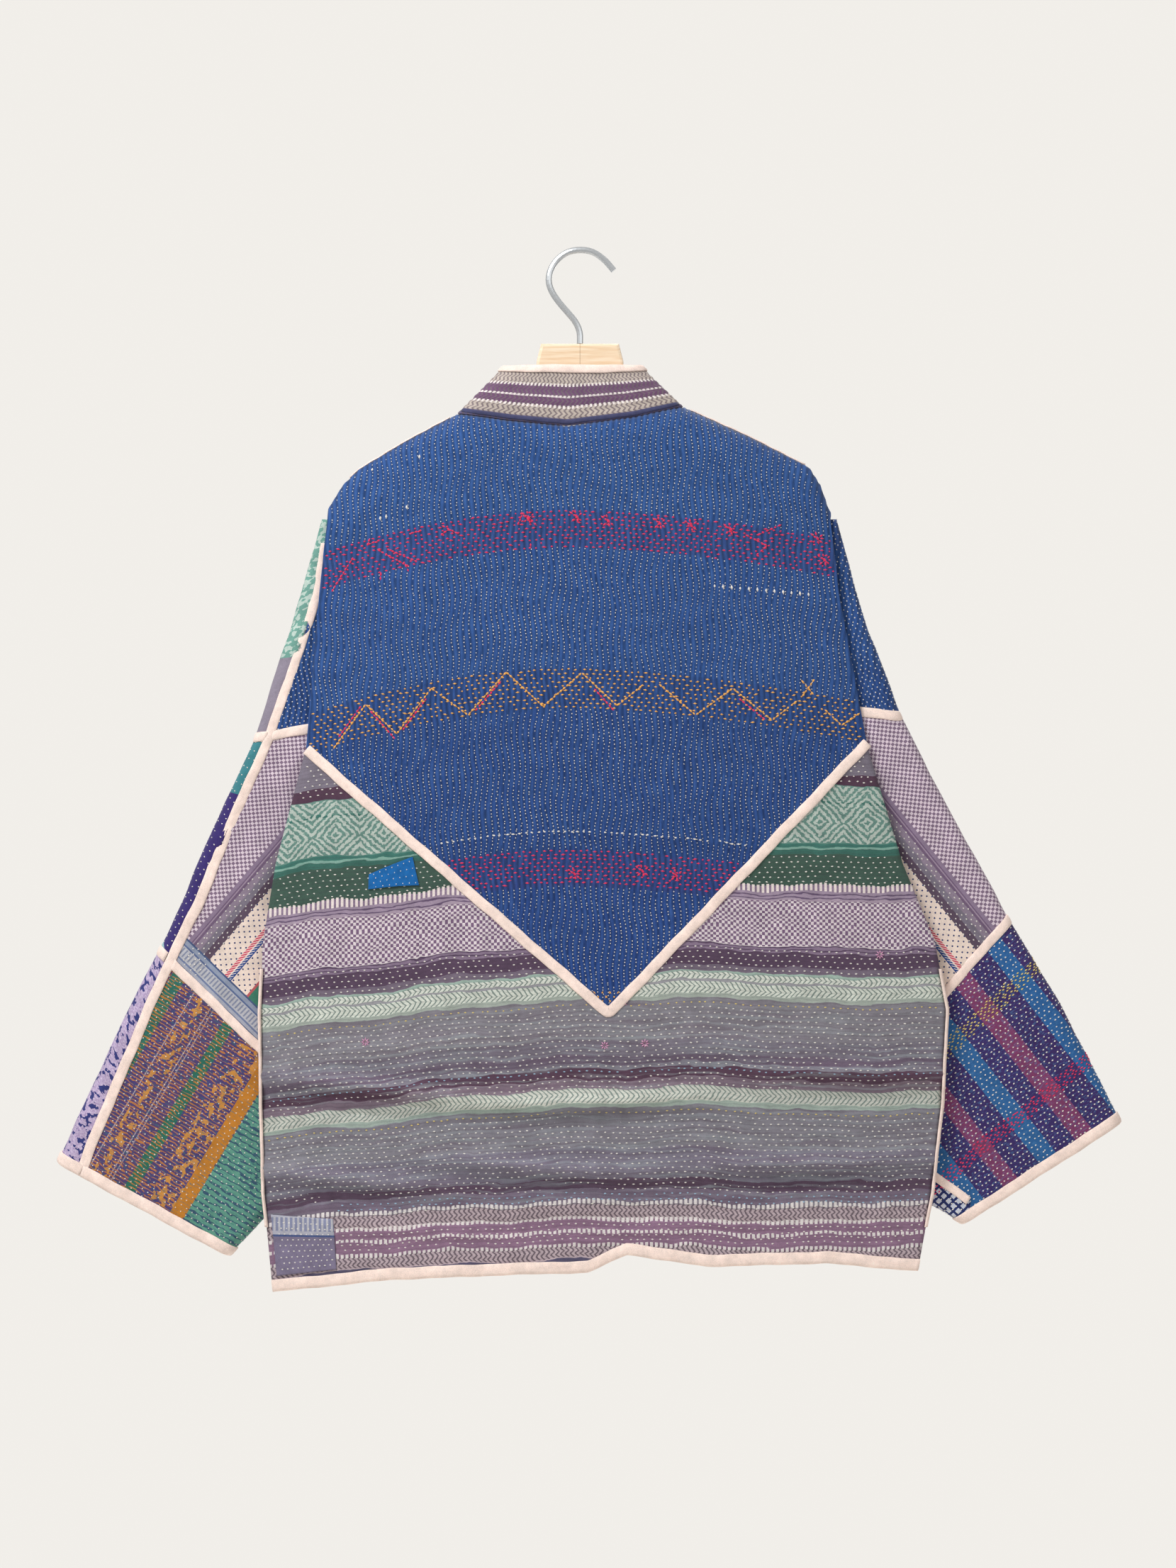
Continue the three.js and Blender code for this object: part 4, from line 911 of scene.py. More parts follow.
FRONT_CREASES = [
    (-150, -300, 2.6, 120, 12, 2.0), (-120, -640, -0.2, 110, 12, 1.8), (-170, -780, 0.3, 110, 14, 2.0),
    (-60, -840, 6.0, 90, 14, -2.0), (150, -300, -2.6, 120, 12, 2.0), (130, -620, 0.2, 120, 12, 1.8),
    (180, -770, -0.3, 110, 14, 2.0), (70, -840, -6.0, 90, 14, -2.0)]
front_panels, front_middles = {}, {}
for label, side in SIDES:
    middle = front_grid(side, 120, 72)
    x, z = middle[..., 0], middle[..., 2]
    uv = np.stack([x, -z], axis=-1)
    folds = fold_sum(x, z, FRONT_CREASES)
    relief = folds + row_relief(x, -z) * 0.6
    front_middles[label] = middle
    # the fronts' folds get the same painted shade in their valleys and painted light on their ridges
    front_panels[label] = shell(f"front_{label}_cloth", middle, uv, relief, -side, ridge_light=fold_light_share(folds))
    print("front", label, "area", round(surface_area(middle), 4))
    dress(front_panels[label], [f"front_{label}"], STRIPED)

COLLAR_LEFT, COLLAR_RIGHT, COLLAR_Z, COLLAR_DEPTH = -64, 55, -100.5, 14
COLLAR_HEIGHT, COLLAR_GAP = 48, 0.06


def signed_power(value, exponent):
    return np.sign(value) * np.abs(value) ** exponent


def collar_points(turn, height):
    angle = (COLLAR_GAP + (1 - 2 * COLLAR_GAP) * turn) * 2 * np.pi
    left = NECK_LEFT + 1 + (COLLAR_LEFT - NECK_LEFT - 1) * height
    right = NECK_RIGHT - 1 + (COLLAR_RIGHT - NECK_RIGHT + 1) * height
    depth = NECK_DEPTH + (COLLAR_DEPTH - NECK_DEPTH) * height
    x = (left + right) / 2 + (right - left) / 2 * signed_power(np.sin(angle), 0.8)
    y = depth * signed_power(np.cos(angle), 0.6)
    share = (x - left) / (right - left)
    base = shoulder_z(NECK_LEFT + 1 + (NECK_RIGHT - NECK_LEFT - 2) * share) + 1.3
    return np.stack([x, y, base + (COLLAR_Z - base) * height], axis=-1)


def collar_colour(tree, u, v):
    base = stripes(tree, v, [
        (0, "#BFB3AA"), (15.5, "#6F5070"), (24.4, "#C9BBC2"), (25.8, "#6A4A6A"), (33, "#BDB1A8"),
        (42.6, "#77708E"), (43.6, "#B5ACB4"), (44.6, "#6A6488")], 60)
    zig = worked(tree, v, ("PINGPONG", 2.6))
    twill = worked(tree, u, ("ADD", zig), *repeat(4.0, 0.42), ("MULTIPLY", 0.8))
    base = dyed(tree, twill, base, "#71646C")
    tick = worked(tree, u, *repeat(3.6, 0.5))
    for low, high in ((14.4, 17), (24.2, 26), (32.2, 34.8)):
        base = dyed(tree, worked(tree, tick, ("MULTIPLY", within(tree, v, low, high))), base, "#E4DCDA")
    return base


# Herringbone cotton, beige with two plum stripes: dry, with a fine zigzag that breaks up the light.
COLLAR_CLOTH = cotton("herringbone_striped_cotton", collar_colour)
turn, height = np.meshgrid(np.linspace(0, 1, 160), np.linspace(1, 0, 28))
collar_middle = collar_points(turn, height)
collar_steps = np.linalg.norm(np.diff(collar_points(turn[0], np.full(turn.shape[1], 0.5)), axis=0), axis=1)
collar_run = np.concatenate([[0], np.cumsum(collar_steps)])
collar_uv = np.stack(np.broadcast_arrays(collar_run[None, :], (1 - height) * COLLAR_HEIGHT), axis=-1)
collar = shell("collar_cloth", collar_middle, collar_uv, 0.3 * np.sin(collar_uv[..., 1] / 0.9), -1)
print("collar area", round(surface_area(collar_middle), 4))
dress(collar, ["collar"], COLLAR_CLOTH)

# %% [markdown]
# Every seam and edge is covered by a blush cotton tape, folded and sewn by hand. A tape on a seam is a low
# rounded strip, a tape on an edge is folded round it, and both are swept along the line of the seam with a
# slight waver.

# %% Bindings
SEAM_PROFILE = np.array([
    (-4.6, 0.3), (-4.6, 1.0), (-3.6, 1.55), (-1.2, 1.8), (1.2, 1.8), (3.6, 1.55), (4.6, 1.0), (4.6, 0.3)])


def edge_profile(half, leg, lead=-1.6):
    """A tape folded round a wall's edge, as (distance into the panel, distance along its normal)."""
    near, far = half + 0.3, half + 1.7
    return np.array([
        (leg, near), (leg, far - 0.5), (leg - 0.9, far), (1.5, far + 0.15), (lead + 0.9, far * 0.8),
        (lead, far * 0.35), (lead, -far * 0.35), (lead + 0.9, -far * 0.8), (1.5, -far - 0.15),
        (leg - 0.9, -far), (leg, 0.5 - far), (leg, -near), (-0.3, -near), (-0.3, near)])


def resampled(points, step):
    length = np.concatenate([[0], np.cumsum(np.linalg.norm(np.diff(points, axis=0), axis=1))])
    stops = np.linspace(0, length[-1], max(3, int(length[-1] / step) + 1))
    return np.stack([np.interp(stops, length, points[:, k]) for k in range(points.shape[1])], axis=1), stops


def ribbon(name, line, into, normal, profile, nodes, slot, material, waver):
    """A closed strip swept along a line, with into and normal at each point of the line."""
    merged, stops = resampled(np.concatenate([line, into, normal], axis=1), 2.5)
    line, into, normal = merged[:, :3], merged[:, 3:6], merged[:, 6:9]
    into /= np.linalg.norm(into, axis=1, keepdims=True)
    normal /= np.linalg.norm(normal, axis=1, keepdims=True)
    sway = waver * (np.sin(stops / 11.0) + 0.6 * np.sin(stops / 4.3 + 1.3))
    puff = 1 + 0.12 * np.sin(stops / 2.9) * np.sin(stops / 17.0)
    rings = (line[:, None] + into[:, None] * (profile[None, :, :1] + sway[:, None, None])
             + normal[:, None] * (profile[None, :, 1:] * puff[:, None, None]))
    count, size = rings.shape[:2]
    index = np.arange(count * size).reshape(count, size)
    beside = np.roll(index, -1, axis=1)
    sides = np.stack([index[:-1], beside[:-1], beside[1:], index[1:]], axis=-1).reshape(-1, 4)
    half = size // 2
    ends = []
    for ring in (index[0], index[-1]):
        for k in range(half - 1):
            ends.append([ring[k], ring[k + 1], ring[size - 2 - k], ring[size - 1 - k]])
    points = rings.reshape(-1, 3)
    round_run = np.concatenate([[0], np.cumsum(np.linalg.norm(np.diff(profile, axis=0), axis=1))])
    uv = np.stack(np.broadcast_arrays(stops[:, None], round_run[None, :]), axis=-1).reshape(-1, 2)
    made = mesh_object(name, points, np.concatenate([sides, np.array(ends)]), uv)
    bpy.context.view_layer.objects.active = made
    made.select_set(True)
    bpy.ops.object.mode_set(mode="EDIT")
    bpy.ops.mesh.select_all(action="SELECT")
    bpy.ops.mesh.normals_make_consistent(inside=False)
    bpy.ops.object.mode_set(mode="OBJECT")
    made.select_set(False)
    return dress(made, nodes, material)


def blush_colour(tree, u, v):
    return dyed(tree, mottle(tree, u, v, 0.05, 0.3), "#FCE9E0", "#F6DDD2")


# Folded blush cotton tape: the palest cloth here, smooth and matte, with a faint
# waver from its hand stitches.
BLUSH = cotton("blush_cotton_tape", blush_colour)
# Dark indigo cotton piping: a thin, nearly black line that sets the collar off.
DARK = cotton("dark_indigo_piping", lambda tree, u, v: dyed(
    tree, mottle(tree, u, v, 0.3, 0.3), "#3A3C5C", "#4C4E72"))


def edge_frames(middle, outward, edge):
    """Line, inward direction and normal along one edge of a grid of middle points."""
    normals = grid_normals(middle, outward)
    pick = {"bottom": (middle[-1], middle[-3], normals[-1]), "top": (middle[0], middle[2], normals[0]),
            "first": (middle[:, 0], middle[:, 2], normals[:, 0])}[edge]
    return pick[0], pick[1] - pick[0], pick[2]


def tape(name, frames, profile, nodes, waver=0.25):
    """A blush tape along a line: frames are the line, the inward directions and the normals."""
    return ribbon(name, *frames, profile, nodes, "blush_tape", BLUSH, waver)


EDGE_PROFILE = edge_profile(WALL / 2, 9)
NARROW_PROFILE = edge_profile(WALL / 2, 6)
RAISED_PROFILE = SEAM_PROFILE + (0, 1.0)
PIPING_WAVER = 0.1
SIDE_SEAM_Z, SIDE_SEAM_Y = (-625, -850), -6.6
SHOULDER_END = 198
bindings = {}
v_line = np.array([(x, 0, v_z(x)) for x in np.linspace(V_SEAM[0][0], V_SEAM[2][0], 180)])
v_line[:, 1] = back_y(v_line[:, 0], v_line[:, 2])
v_slope = np.gradient(v_line, axis=0)
v_normals = grid_normals(lower_middle, 1)[0]
v_normal = np.stack([np.interp(v_line[:, 0], lower_middle[0, :, 0], v_normals[:, k]) for k in range(3)],
                    axis=1)
v_normal[:, 1] -= 0.4
v_into = np.cross(v_normal, v_slope)
bindings["yoke"] = tape("yoke_tape", (v_line + v_normal, v_into, v_normal), SEAM_PROFILE, ["yoke_binding"])
bindings["hem"] = tape(
    "back_hem_tape", edge_frames(lower_middle, 1, "bottom"), EDGE_PROFILE, ["back_hem_binding"])
for label, side in SIDES:
    middle = front_middles[label]
    bindings[f"hem_{label}"] = tape(
        f"front_{label}_hem_tape", edge_frames(middle, -side, "bottom"), EDGE_PROFILE,
        [f"front_{label}_hem_binding"])
    edge_lines = [rows[4:-4] for rows in edge_frames(middle, -side, "first")]
    bindings[f"edge_{label}"] = tape(
        f"front_{label}_edge_tape", edge_lines, EDGE_PROFILE, [f"front_{label}_edge_binding"])
    seam_z = np.linspace(*SIDE_SEAM_Z, 80)
    seam_x = np.interp(seam_z, BODY_Z, BODY_LEFT if side < 0 else BODY_RIGHT) + side * WALL / 2
    seam_line = np.stack([seam_x, np.full(80, SIDE_SEAM_Y), seam_z], axis=1)
    seam_frames = seam_line, np.tile([-side, 0, 0.0], (80, 1)), np.tile([0, -1, 0.0], (80, 1))
    bindings[f"side_{label}"] = tape(
        f"side_{label}_piping", seam_frames, edge_profile(3.8, 2.4, -0.8), [f"side_piping_{label}"],
        PIPING_WAVER)
    ends = (-SHOULDER_END, NECK_LEFT - 6) if side < 0 else (NECK_RIGHT + 6, SHOULDER_END)
    ridge_x = np.linspace(*ends, 60)
    ridge = np.stack([ridge_x, 0 * ridge_x, shoulder_z(ridge_x)], axis=1)
    slope = np.gradient(ridge[:, 2], ridge_x)
    up = np.stack([-slope, 0 * slope, 1 + 0 * slope], axis=1)
    bindings[f"shoulder_{label}"] = tape(
        f"shoulder_{label}_piping", (ridge, np.tile([0, 1, 0.0], (60, 1)), up),
        SEAM_PROFILE * (0.48, 0.9) + (0, 1.0), [f"shoulder_piping_{label}"], PIPING_WAVER)
bindings["collar"] = tape(
    "collar_tape", edge_frames(collar_middle, -1, "top"), NARROW_PROFILE, ["collar_binding"])
low_turn = np.linspace(0.26, 0.74, 120)
low_line = collar_points(low_turn, np.full(120, 0.06))
low_up = collar_points(low_turn, np.full(120, 0.12)) - low_line
low_out = np.cross(low_up, np.gradient(low_line, axis=0))
low_out *= np.sign(low_out[60, 1]) * -1
bindings["collar_base"] = ribbon(
    "collar_base_piping", low_line, low_up, low_out, SEAM_PROFILE * (0.42, 0.8) + (0, 1.1),
    ["collar_piping"], "dark_piping", DARK, PIPING_WAVER)

# %% [markdown]
# On a sleeve, one tape runs down the top seam, two cross it where the panels meet, and one is folded round
# the cuff. The right cuff has a short fifth tape, along the corner that is turned back.

# %% Sleeve bindings
def sleeve_net(form, side, part, wall):
    """A fine net of a sleeve wall: its points, normals and relief, and a search tree over its flat cloth."""
    points, laid = sleeve_wall(form, side, part, wall, 150, 110)
    normals, relief = grid_normals(points, side), sleeve_relief(points, laid)
    flat = laid.reshape(-1, 2)
    search = mathutils.kdtree.KDTree(len(flat))
    for k, (a, b) in enumerate(flat):
        search.insert((a, b, 0), k)
    search.balance()
    return points.reshape(-1, 3), normals.reshape(-1, 3), relief.ravel(), search


for label, form, side in SLEEVES:
    walls = {}
    for part in PARTS:
        for wall in WALLS:
            walls[part, wall] = sleeve_wall(form, side, part, wall, 60, 40)[0]
    top_frames = [[], [], []]
    for part in PARTS:
        back, front, first = walls[part, "back"], walls[part, "front"], 6 if part == "upper" else 0
        top_frames[0].append(back[first:, -1])
        top_frames[1].append(front[first:, 1] - back[first:, -2])
        top_frames[2].append(grid_normals(back, side)[first:, -1])
    bindings[f"{label}_top"] = tape(
        f"sleeve_{label}_top_tape", [np.concatenate(rows)[:-3] for rows in top_frames], RAISED_PROFILE,
        [f"sleeve_{label}_top_binding"])
    for wall in WALLS:
        reach = slice(0, -1) if wall == "back" else slice(1, None)
        for place, above in (("upper", "upper"), ("lower", "middle")):
            cross_frames = [rows[reach] for rows in edge_frames(walls[above, wall], side, "bottom")]
            bindings[f"{label}_{place}_{wall}"] = tape(
                f"sleeve_{label}_{place}_{wall}_tape", cross_frames, RAISED_PROFILE,
                [f"sleeve_{label}_{place}_cross_{wall}"])
        bindings[f"{label}_cuff_{wall}"] = tape(
            f"cuff_{label}_{wall}_tape", edge_frames(walls["cuff", wall], side, "bottom"), EDGE_PROFILE,
            [f"cuff_{label}_binding_{wall}"])
net_points, net_normals, _, net_search = sleeve_net(RIGHT_SLEEVE, 1, "cuff", "back")
turned_flat = np.linspace(*np.array(TURNED_LINE), 24)[1:]
turned_hits = [net_search.find((a, b, 0))[1] for a, b in turned_flat]
turned_line = np.stack([turned_flat[:, 0], net_points[turned_hits][:, 1], -turned_flat[:, 1]], axis=1)
turned_normal = net_normals[turned_hits]
turned_into = np.cross(turned_normal, np.gradient(turned_line, axis=0))
bindings["right_turned"] = tape(
    "cuff_right_turned_tape", (turned_line, turned_into, turned_normal), RAISED_PROFILE * (0.8, 1), [])
print("bindings", len(bindings), "faces", sum(len(b.data.polygons) for b in bindings.values()))

# %% [markdown]
# Two small patches are laid on the lower back and sewn down: a bright blue one beside the V, and a
# blue-grey one at the hem corner, with a strip of brocade along its top.

# %% Mending patches
def lower_net(s, f):
    column = np.interp(s, lower_s, np.arange(len(lower_s)))
    row = np.interp(f, lower_f, np.arange(len(lower_f)))
    j, i = np.minimum(column.astype(int), len(lower_s) - 2), np.minimum(row.astype(int), len(lower_f) - 2)
    a, b = (column - j)[..., None], (row - i)[..., None]
    top = lower_middle[i, j] * (1 - a) + lower_middle[i, j + 1] * a
    low = lower_middle[i + 1, j] * (1 - a) + lower_middle[i + 1, j + 1] * a
    return top * (1 - b) + low * b


BLUE_CORNERS = [(0.1325, 0.128), (0.194, 0.028), (0.2095, 0.0775), (0.1355, 0.1575)]
CORNER_CORNERS = [(0.009, 0.86), (0.102, 0.866), (0.102, 0.97), (0.009, 0.974)]


PATCH_NEAR, PATCH_FAR = WALL / 2 + 0.45, WALL / 2 + 1.6


def on_patch(corners, u, f):
    """Points of the lower back under a patch with four corners, at shares u across and f down."""
    a, b, c, d = (np.array(k) for k in corners)
    u, f = u[..., None], f[..., None]
    place = (a + (b - a) * u) * (1 - f) + (d + (c - d) * u) * f
    return lower_net(place[..., 0], place[..., 1])


def patch_piece(name, node_name, corners, material):
    middle = on_patch(corners, *np.meshgrid(np.linspace(0, 1, 40), np.linspace(0, 1, 40)))
    uv = np.stack([middle[..., 0], -middle[..., 2]], axis=-1)
    relief = 0.25 * np.sin(uv[..., 0] / 2.1) * np.sin(uv[..., 1] / 1.7)
    made = shell(name, middle, uv, relief, 1, PATCH_NEAR, PATCH_FAR)
    print(name, "area", round(surface_area(middle), 5))
    return dress(made, [node_name], material)


def bright_colour(tree, u, v):
    return dyed(tree, mottle(tree, u, v, 0.3, 0.1), "#0F5A9E", "#1F6FB6")


def corner_colour(tree, u, v):
    base = stripes(tree, v, [
        (800, "#6F6D8C"), (838, "#ADAEBC"), (841, "#868BA8"), (853, "#ADAEBC"), (856, "#4B5A88"),
        (858, "#7A728B")], 960)
    loops = worked(tree, u, *repeat(4.2, 0.45), ("MULTIPLY", within(tree, v, 841, 853)))
    return dyed(tree, loops, base, "#C4C3C8", 0.75)


# Bright blue cotton, newer than the rest: an even, strong colour with little wear.
# Blue-grey cotton with a brocade strip: cool and faded, close to the stripes beside it.
BRIGHT = cotton("bright_blue_cotton", bright_colour)
BLUE_GREY = cotton("blue_grey_cotton", corner_colour)
blue_patch = patch_piece("blue_patch_cloth", "blue_patch", BLUE_CORNERS, BRIGHT)
corner_patch = patch_piece("hem_corner_cloth", "hem_corner_patch", CORNER_CORNERS, BLUE_GREY)

# %% [markdown]
# The hanger is turned and bent as the solids show it, so these two stay and get the finish of their real
# materials: lacquered beech with straight grain along the bar, and drawn steel wire.

# %% Hanger finish
def hanger_finish(name, material):
    piece = bpy.data.objects[name]
    piece.data.materials.clear()
    piece.data.materials.append(material)
    return piece


# Clear-lacquered beech: pale and warm with fine straight grain, a soft gloss, and
# one glue line at the middle.
GLUE_X, GLUE_HALF = 0.002, 0.00025
beech, beech_tree, beech_shader = new_material("lacquered_beech", 0.42)
beech_place = node(beech_tree, "ShaderNodeTexCoord").outputs["Object"]
beech_stretch = node(beech_tree, "ShaderNodeVectorMath", {0: beech_place, 1: (30.0, 420.0, 420.0)},
                     operation="MULTIPLY")
beech_grain = node(beech_tree, "ShaderNodeTexNoise",
                   {"Vector": beech_stretch.outputs[0], "Scale": 1.0, "Detail": 5.0})
beech_contrast = node(beech_tree, "ShaderNodeMapRange",
                      {"Value": beech_grain.outputs["Fac"], 1: 0.35, 2: 0.65})
beech_colour = dyed(beech_tree, beech_contrast.outputs[0], "#F5E3CA", "#E8CAA5")
beech_x = node(beech_tree, "ShaderNodeSeparateXYZ", {"Vector": beech_place}).outputs["X"]
glue = worked(beech_tree, beech_x, ("SUBTRACT", GLUE_X), ("ABSOLUTE",), ("LESS_THAN", GLUE_HALF),
              ("MULTIPLY", 0.6))
beech_tree.links.new(dyed(beech_tree, glue, beech_colour, "#8A6238"), beech_shader.inputs["Base Color"])
# Drawn steel wire, zinc-plated and satin: a bright, broken gleam along the bend and pale grey elsewhere.
steel, steel_tree, steel_shader = new_material("satin_steel_wire", 0.3)
steel_shader.inputs["Metallic"].default_value = 0.82
steel_place = node(steel_tree, "ShaderNodeTexCoord").outputs["Object"]
steel_wear = node(steel_tree, "ShaderNodeTexNoise", {"Vector": steel_place, "Scale": 260.0, "Detail": 2.0})
steel_tree.links.new(
    dyed(steel_tree, steel_wear.outputs["Fac"], "#CFD4D9", "#DCE0E4"), steel_shader.inputs["Base Color"])
hanger_finish("hanger_bar", beech)
hanger_finish("hanger_hook", steel)

# %% [markdown]
# All the cloth is quilted by hand with running stitch, and the stitches are what the eye meets first. Each
# one is a short bead of thread that dips into the cloth at both ends: six points, eight triangles.
# Thousands are placed from arrays and joined by thread colour, in columns on the blue yoke and in staggered
# rows on the striped cloth.

# %% Stitches
def thread(name, code):
    material, _, shader = new_material(name, 0.8, 0.2)
    shader.inputs["Base Color"].default_value = linear(code)
    return material


# Twisted cotton thread in six dyes: small matte beads that catch the light on their tops.
IVORY = thread("ivory_cotton_thread", "#E9E5DE")
RED = thread("red_cotton_thread", "#E62C5C")
YELLOW = thread("yellow_cotton_thread", "#EDAE55")
LEMON = thread("lemon_cotton_thread", "#DEC878")
SKY = thread("sky_cotton_thread", "#9FC0D8")
PINK = thread("pink_cotton_thread", "#D79BC0")
BEAD_DIP, BEAD_ROOT, BEAD_FLANK = 0.25, 0.5, 0.1
BEAD = np.array([(0, 4, 2), (4, 1, 2), (1, 5, 2), (5, 0, 2), (4, 0, 3), (1, 4, 3), (5, 1, 3), (0, 5, 3)])


def unit(vectors):
    return vectors / (np.linalg.norm(vectors, axis=-1, keepdims=True) + 1e-12)


def stitches(name, centre, along, normal, length, width, material, height=0.75):
    """One joined mesh of beads, from the centre, direction and normal of each and one length or many."""
    normal = unit(normal)
    along = unit(along - normal * (along * normal).sum(axis=1, keepdims=True))
    aside = np.cross(normal, along)
    reach = np.broadcast_to(np.asarray(length, float) / 2, (len(centre),))[:, None]
    low, flank = centre - normal * BEAD_DIP, centre + normal * BEAD_FLANK
    corners = np.stack([
        low - along * reach, low + along * reach, centre + normal * height, centre - normal * BEAD_ROOT,
        flank + aside * width / 2, flank - aside * width / 2], axis=1)
    faces = (BEAD[None] + 6 * np.arange(len(centre))[:, None, None]).reshape(-1, 3)
    made = mesh_object(name, corners.reshape(-1, 3), faces)
    made.data.materials.append(material)
    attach(made, "root")
    print(name, len(centre), "stitches", len(faces), "triangles")
    return made


def back_frame(x, z, relief):
    step = 0.6
    here = np.stack([x, back_y(x, z), z], axis=1)
    right = np.stack([x + step, back_y(x + step, z), z], axis=1) - here
    down = np.stack([x, back_y(x, z - step), z - step], axis=1) - here
    normal = unit(np.cross(down, right))
    return here + normal * (WALL / 2 + relief)[:, None], normal


# Bare margins beside seams, tapes and hem, and how far a stitch on striped cloth is lifted to stay in sight
YOKE_CLEAR, LOWER_CLEAR, TAPE_HALF, HEM_CLEAR = 3, 5, 4, 11
SEWN_LIFT = 0.3


def beside_seams(x, z, margin):
    left, right = np.interp(z, BODY_Z, BODY_LEFT), np.interp(z, BODY_Z, BODY_RIGHT)
    return (x > left + margin) & (x < right - margin)


def in_yoke(x, z, margin):
    under_shoulder = z < shoulder_z(x) - YOKE_CLEAR
    return beside_seams(x, z, YOKE_CLEAR) & (z > v_z(x) + TAPE_HALF + margin) & under_shoulder


def in_lower(x, z):
    return beside_seams(x, z, LOWER_CLEAR) & (z < v_z(x) - 2 * TAPE_HALF) & (z > hem_z(x) + HEM_CLEAR)


HOOK_PIXEL, MM_PER_PIXEL = (815, 357), 0.62


def from_photo(px, py):
    """Millimetres from a place in the picture, measured from the inside top of the hook."""
    return (px - HOOK_PIXEL[0]) * MM_PER_PIXEL, -(py - HOOK_PIXEL[1]) * MM_PER_PIXEL


DOWN, RIGHT = np.array([0, 0, -1.0]), np.array([1.0, 0, 0])

# %% [markdown]
# On the yoke the ivory thread runs in wavy columns, one in each valley of the cloth. Bands of red and
# yellow thread cross it in rows, a zigzag of longer yellow threads lies over the lower band, and loose red
# ends hang from the upper.

# %% Stitches of the yoke
RED_BANDS = [(226, 259, -240, 260), (520, 552, -112, 150)]
YELLOW_BAND = (363, 399)
lane, step_z = np.meshgrid(np.arange(-52, 56), np.arange(-133, -664, -3.0))
lane_x = (lane + 0.5) * PUCKER
stitch_z = step_z + np.where(lane % 2 == 0, 0, 1.5) + rng.normal(0, 0.35, lane.shape)
stitch_x = lane_x.copy()
for _ in range(4):
    stitch_x = lane_x - wavy(stitch_x, stitch_z)
stitch_x += rng.normal(0, 0.25, lane.shape)
stitch_x, stitch_z = stitch_x.ravel(), stitch_z.ravel()
band_v = -stitch_z + yoke_arch(stitch_x)
coloured = (band_v > YELLOW_BAND[0]) & (band_v < YELLOW_BAND[1])
for low, high, start, end in RED_BANDS:
    coloured |= (band_v > low) & (band_v < high) & (stitch_x > start) & (stitch_x < end)
keep = in_yoke(stitch_x, stitch_z, 2) & ~coloured & (rng.random(len(stitch_x)) > 0.06)
stitch_x, stitch_z = stitch_x[keep], stitch_z[keep]
spot, out = back_frame(stitch_x, stitch_z, yoke_relief(stitch_x, stitch_z))
lean = DOWN + RIGHT * rng.normal(0, 0.25, (len(spot), 1))
sewn = {"yoke": [stitches("yoke_ivory_stitches", spot, lean, out, rng.uniform(1.5, 2.1, len(spot)), 1.15,
                          IVORY)]}


def row_dashes(name, low, high, start, end, gap, pitch, length, material, keep_share):
    rows, places = np.meshgrid(np.arange(low + gap / 2, high, gap), np.arange(start, end, pitch))
    brick = np.where(np.round((rows - low) / gap) % 2 == 0, 0, pitch / 2)
    x = (places + brick + rng.normal(0, 0.5, rows.shape)).ravel()
    v = (rows + rng.normal(0, 0.3, rows.shape)).ravel()
    z = yoke_arch(x) - v
    mask = in_yoke(x, z, 3) & (rng.random(len(x)) < keep_share)
    x, z = x[mask], z[mask]
    centre, normal = back_frame(x, z, yoke_relief(x, z))
    tilt = RIGHT + DOWN * rng.normal(0, 0.12, (len(x), 1))
    lengths = rng.uniform(0.8, 1.2, len(x)) * length
    sewn["yoke"].append(stitches(name, centre, tilt, normal, lengths, 1.6, material))


for k, (low, high, start, end) in enumerate(RED_BANDS):
    row_dashes(f"yoke_red_stitches_{k}", low, high, start, end, 3.4, 6.2, 4.2, RED, 0.9)
row_dashes("yoke_yellow_stitches", *YELLOW_BAND, -250, 260, 3.6, 6.0, 4.0, YELLOW, 0.9)
row_dashes("yoke_white_line", 503, 507, -123, 146, 4.0, 5.6, 4.0, IVORY, 0.93)


def loose_lines(name, routes, spacing, length, material, owner, width):
    """Longer threads laid along broken lines given in picture pixels."""
    centres, directions = [], []
    for route in routes:
        corners = np.array([from_photo(*point) for point in route])
        for a, b in zip(corners[:-1], corners[1:]):
            count = max(1, int(np.linalg.norm(b - a) / spacing))
            shares = (np.arange(count) + 0.5) / count
            centres.append(a + (b - a) * shares[:, None])
            directions.append(np.tile(b - a, (count, 1)))
    flat, way = np.concatenate(centres), np.concatenate(directions)
    x, z = flat[:, 0], flat[:, 1]
    if owner == "yoke":
        relief = yoke_relief(x, z)
    else:
        relief = row_relief(x, stripe_arch(x, z) - z) + fold_sum(x, z, CREASES) + SEWN_LIFT
    centre, normal = back_frame(x, z, relief)
    way = np.stack([way[:, 0], 0 * way[:, 0], way[:, 1]], axis=1)
    sewn[owner].append(stitches(name, centre, way, normal, length, width, material, 0.9))


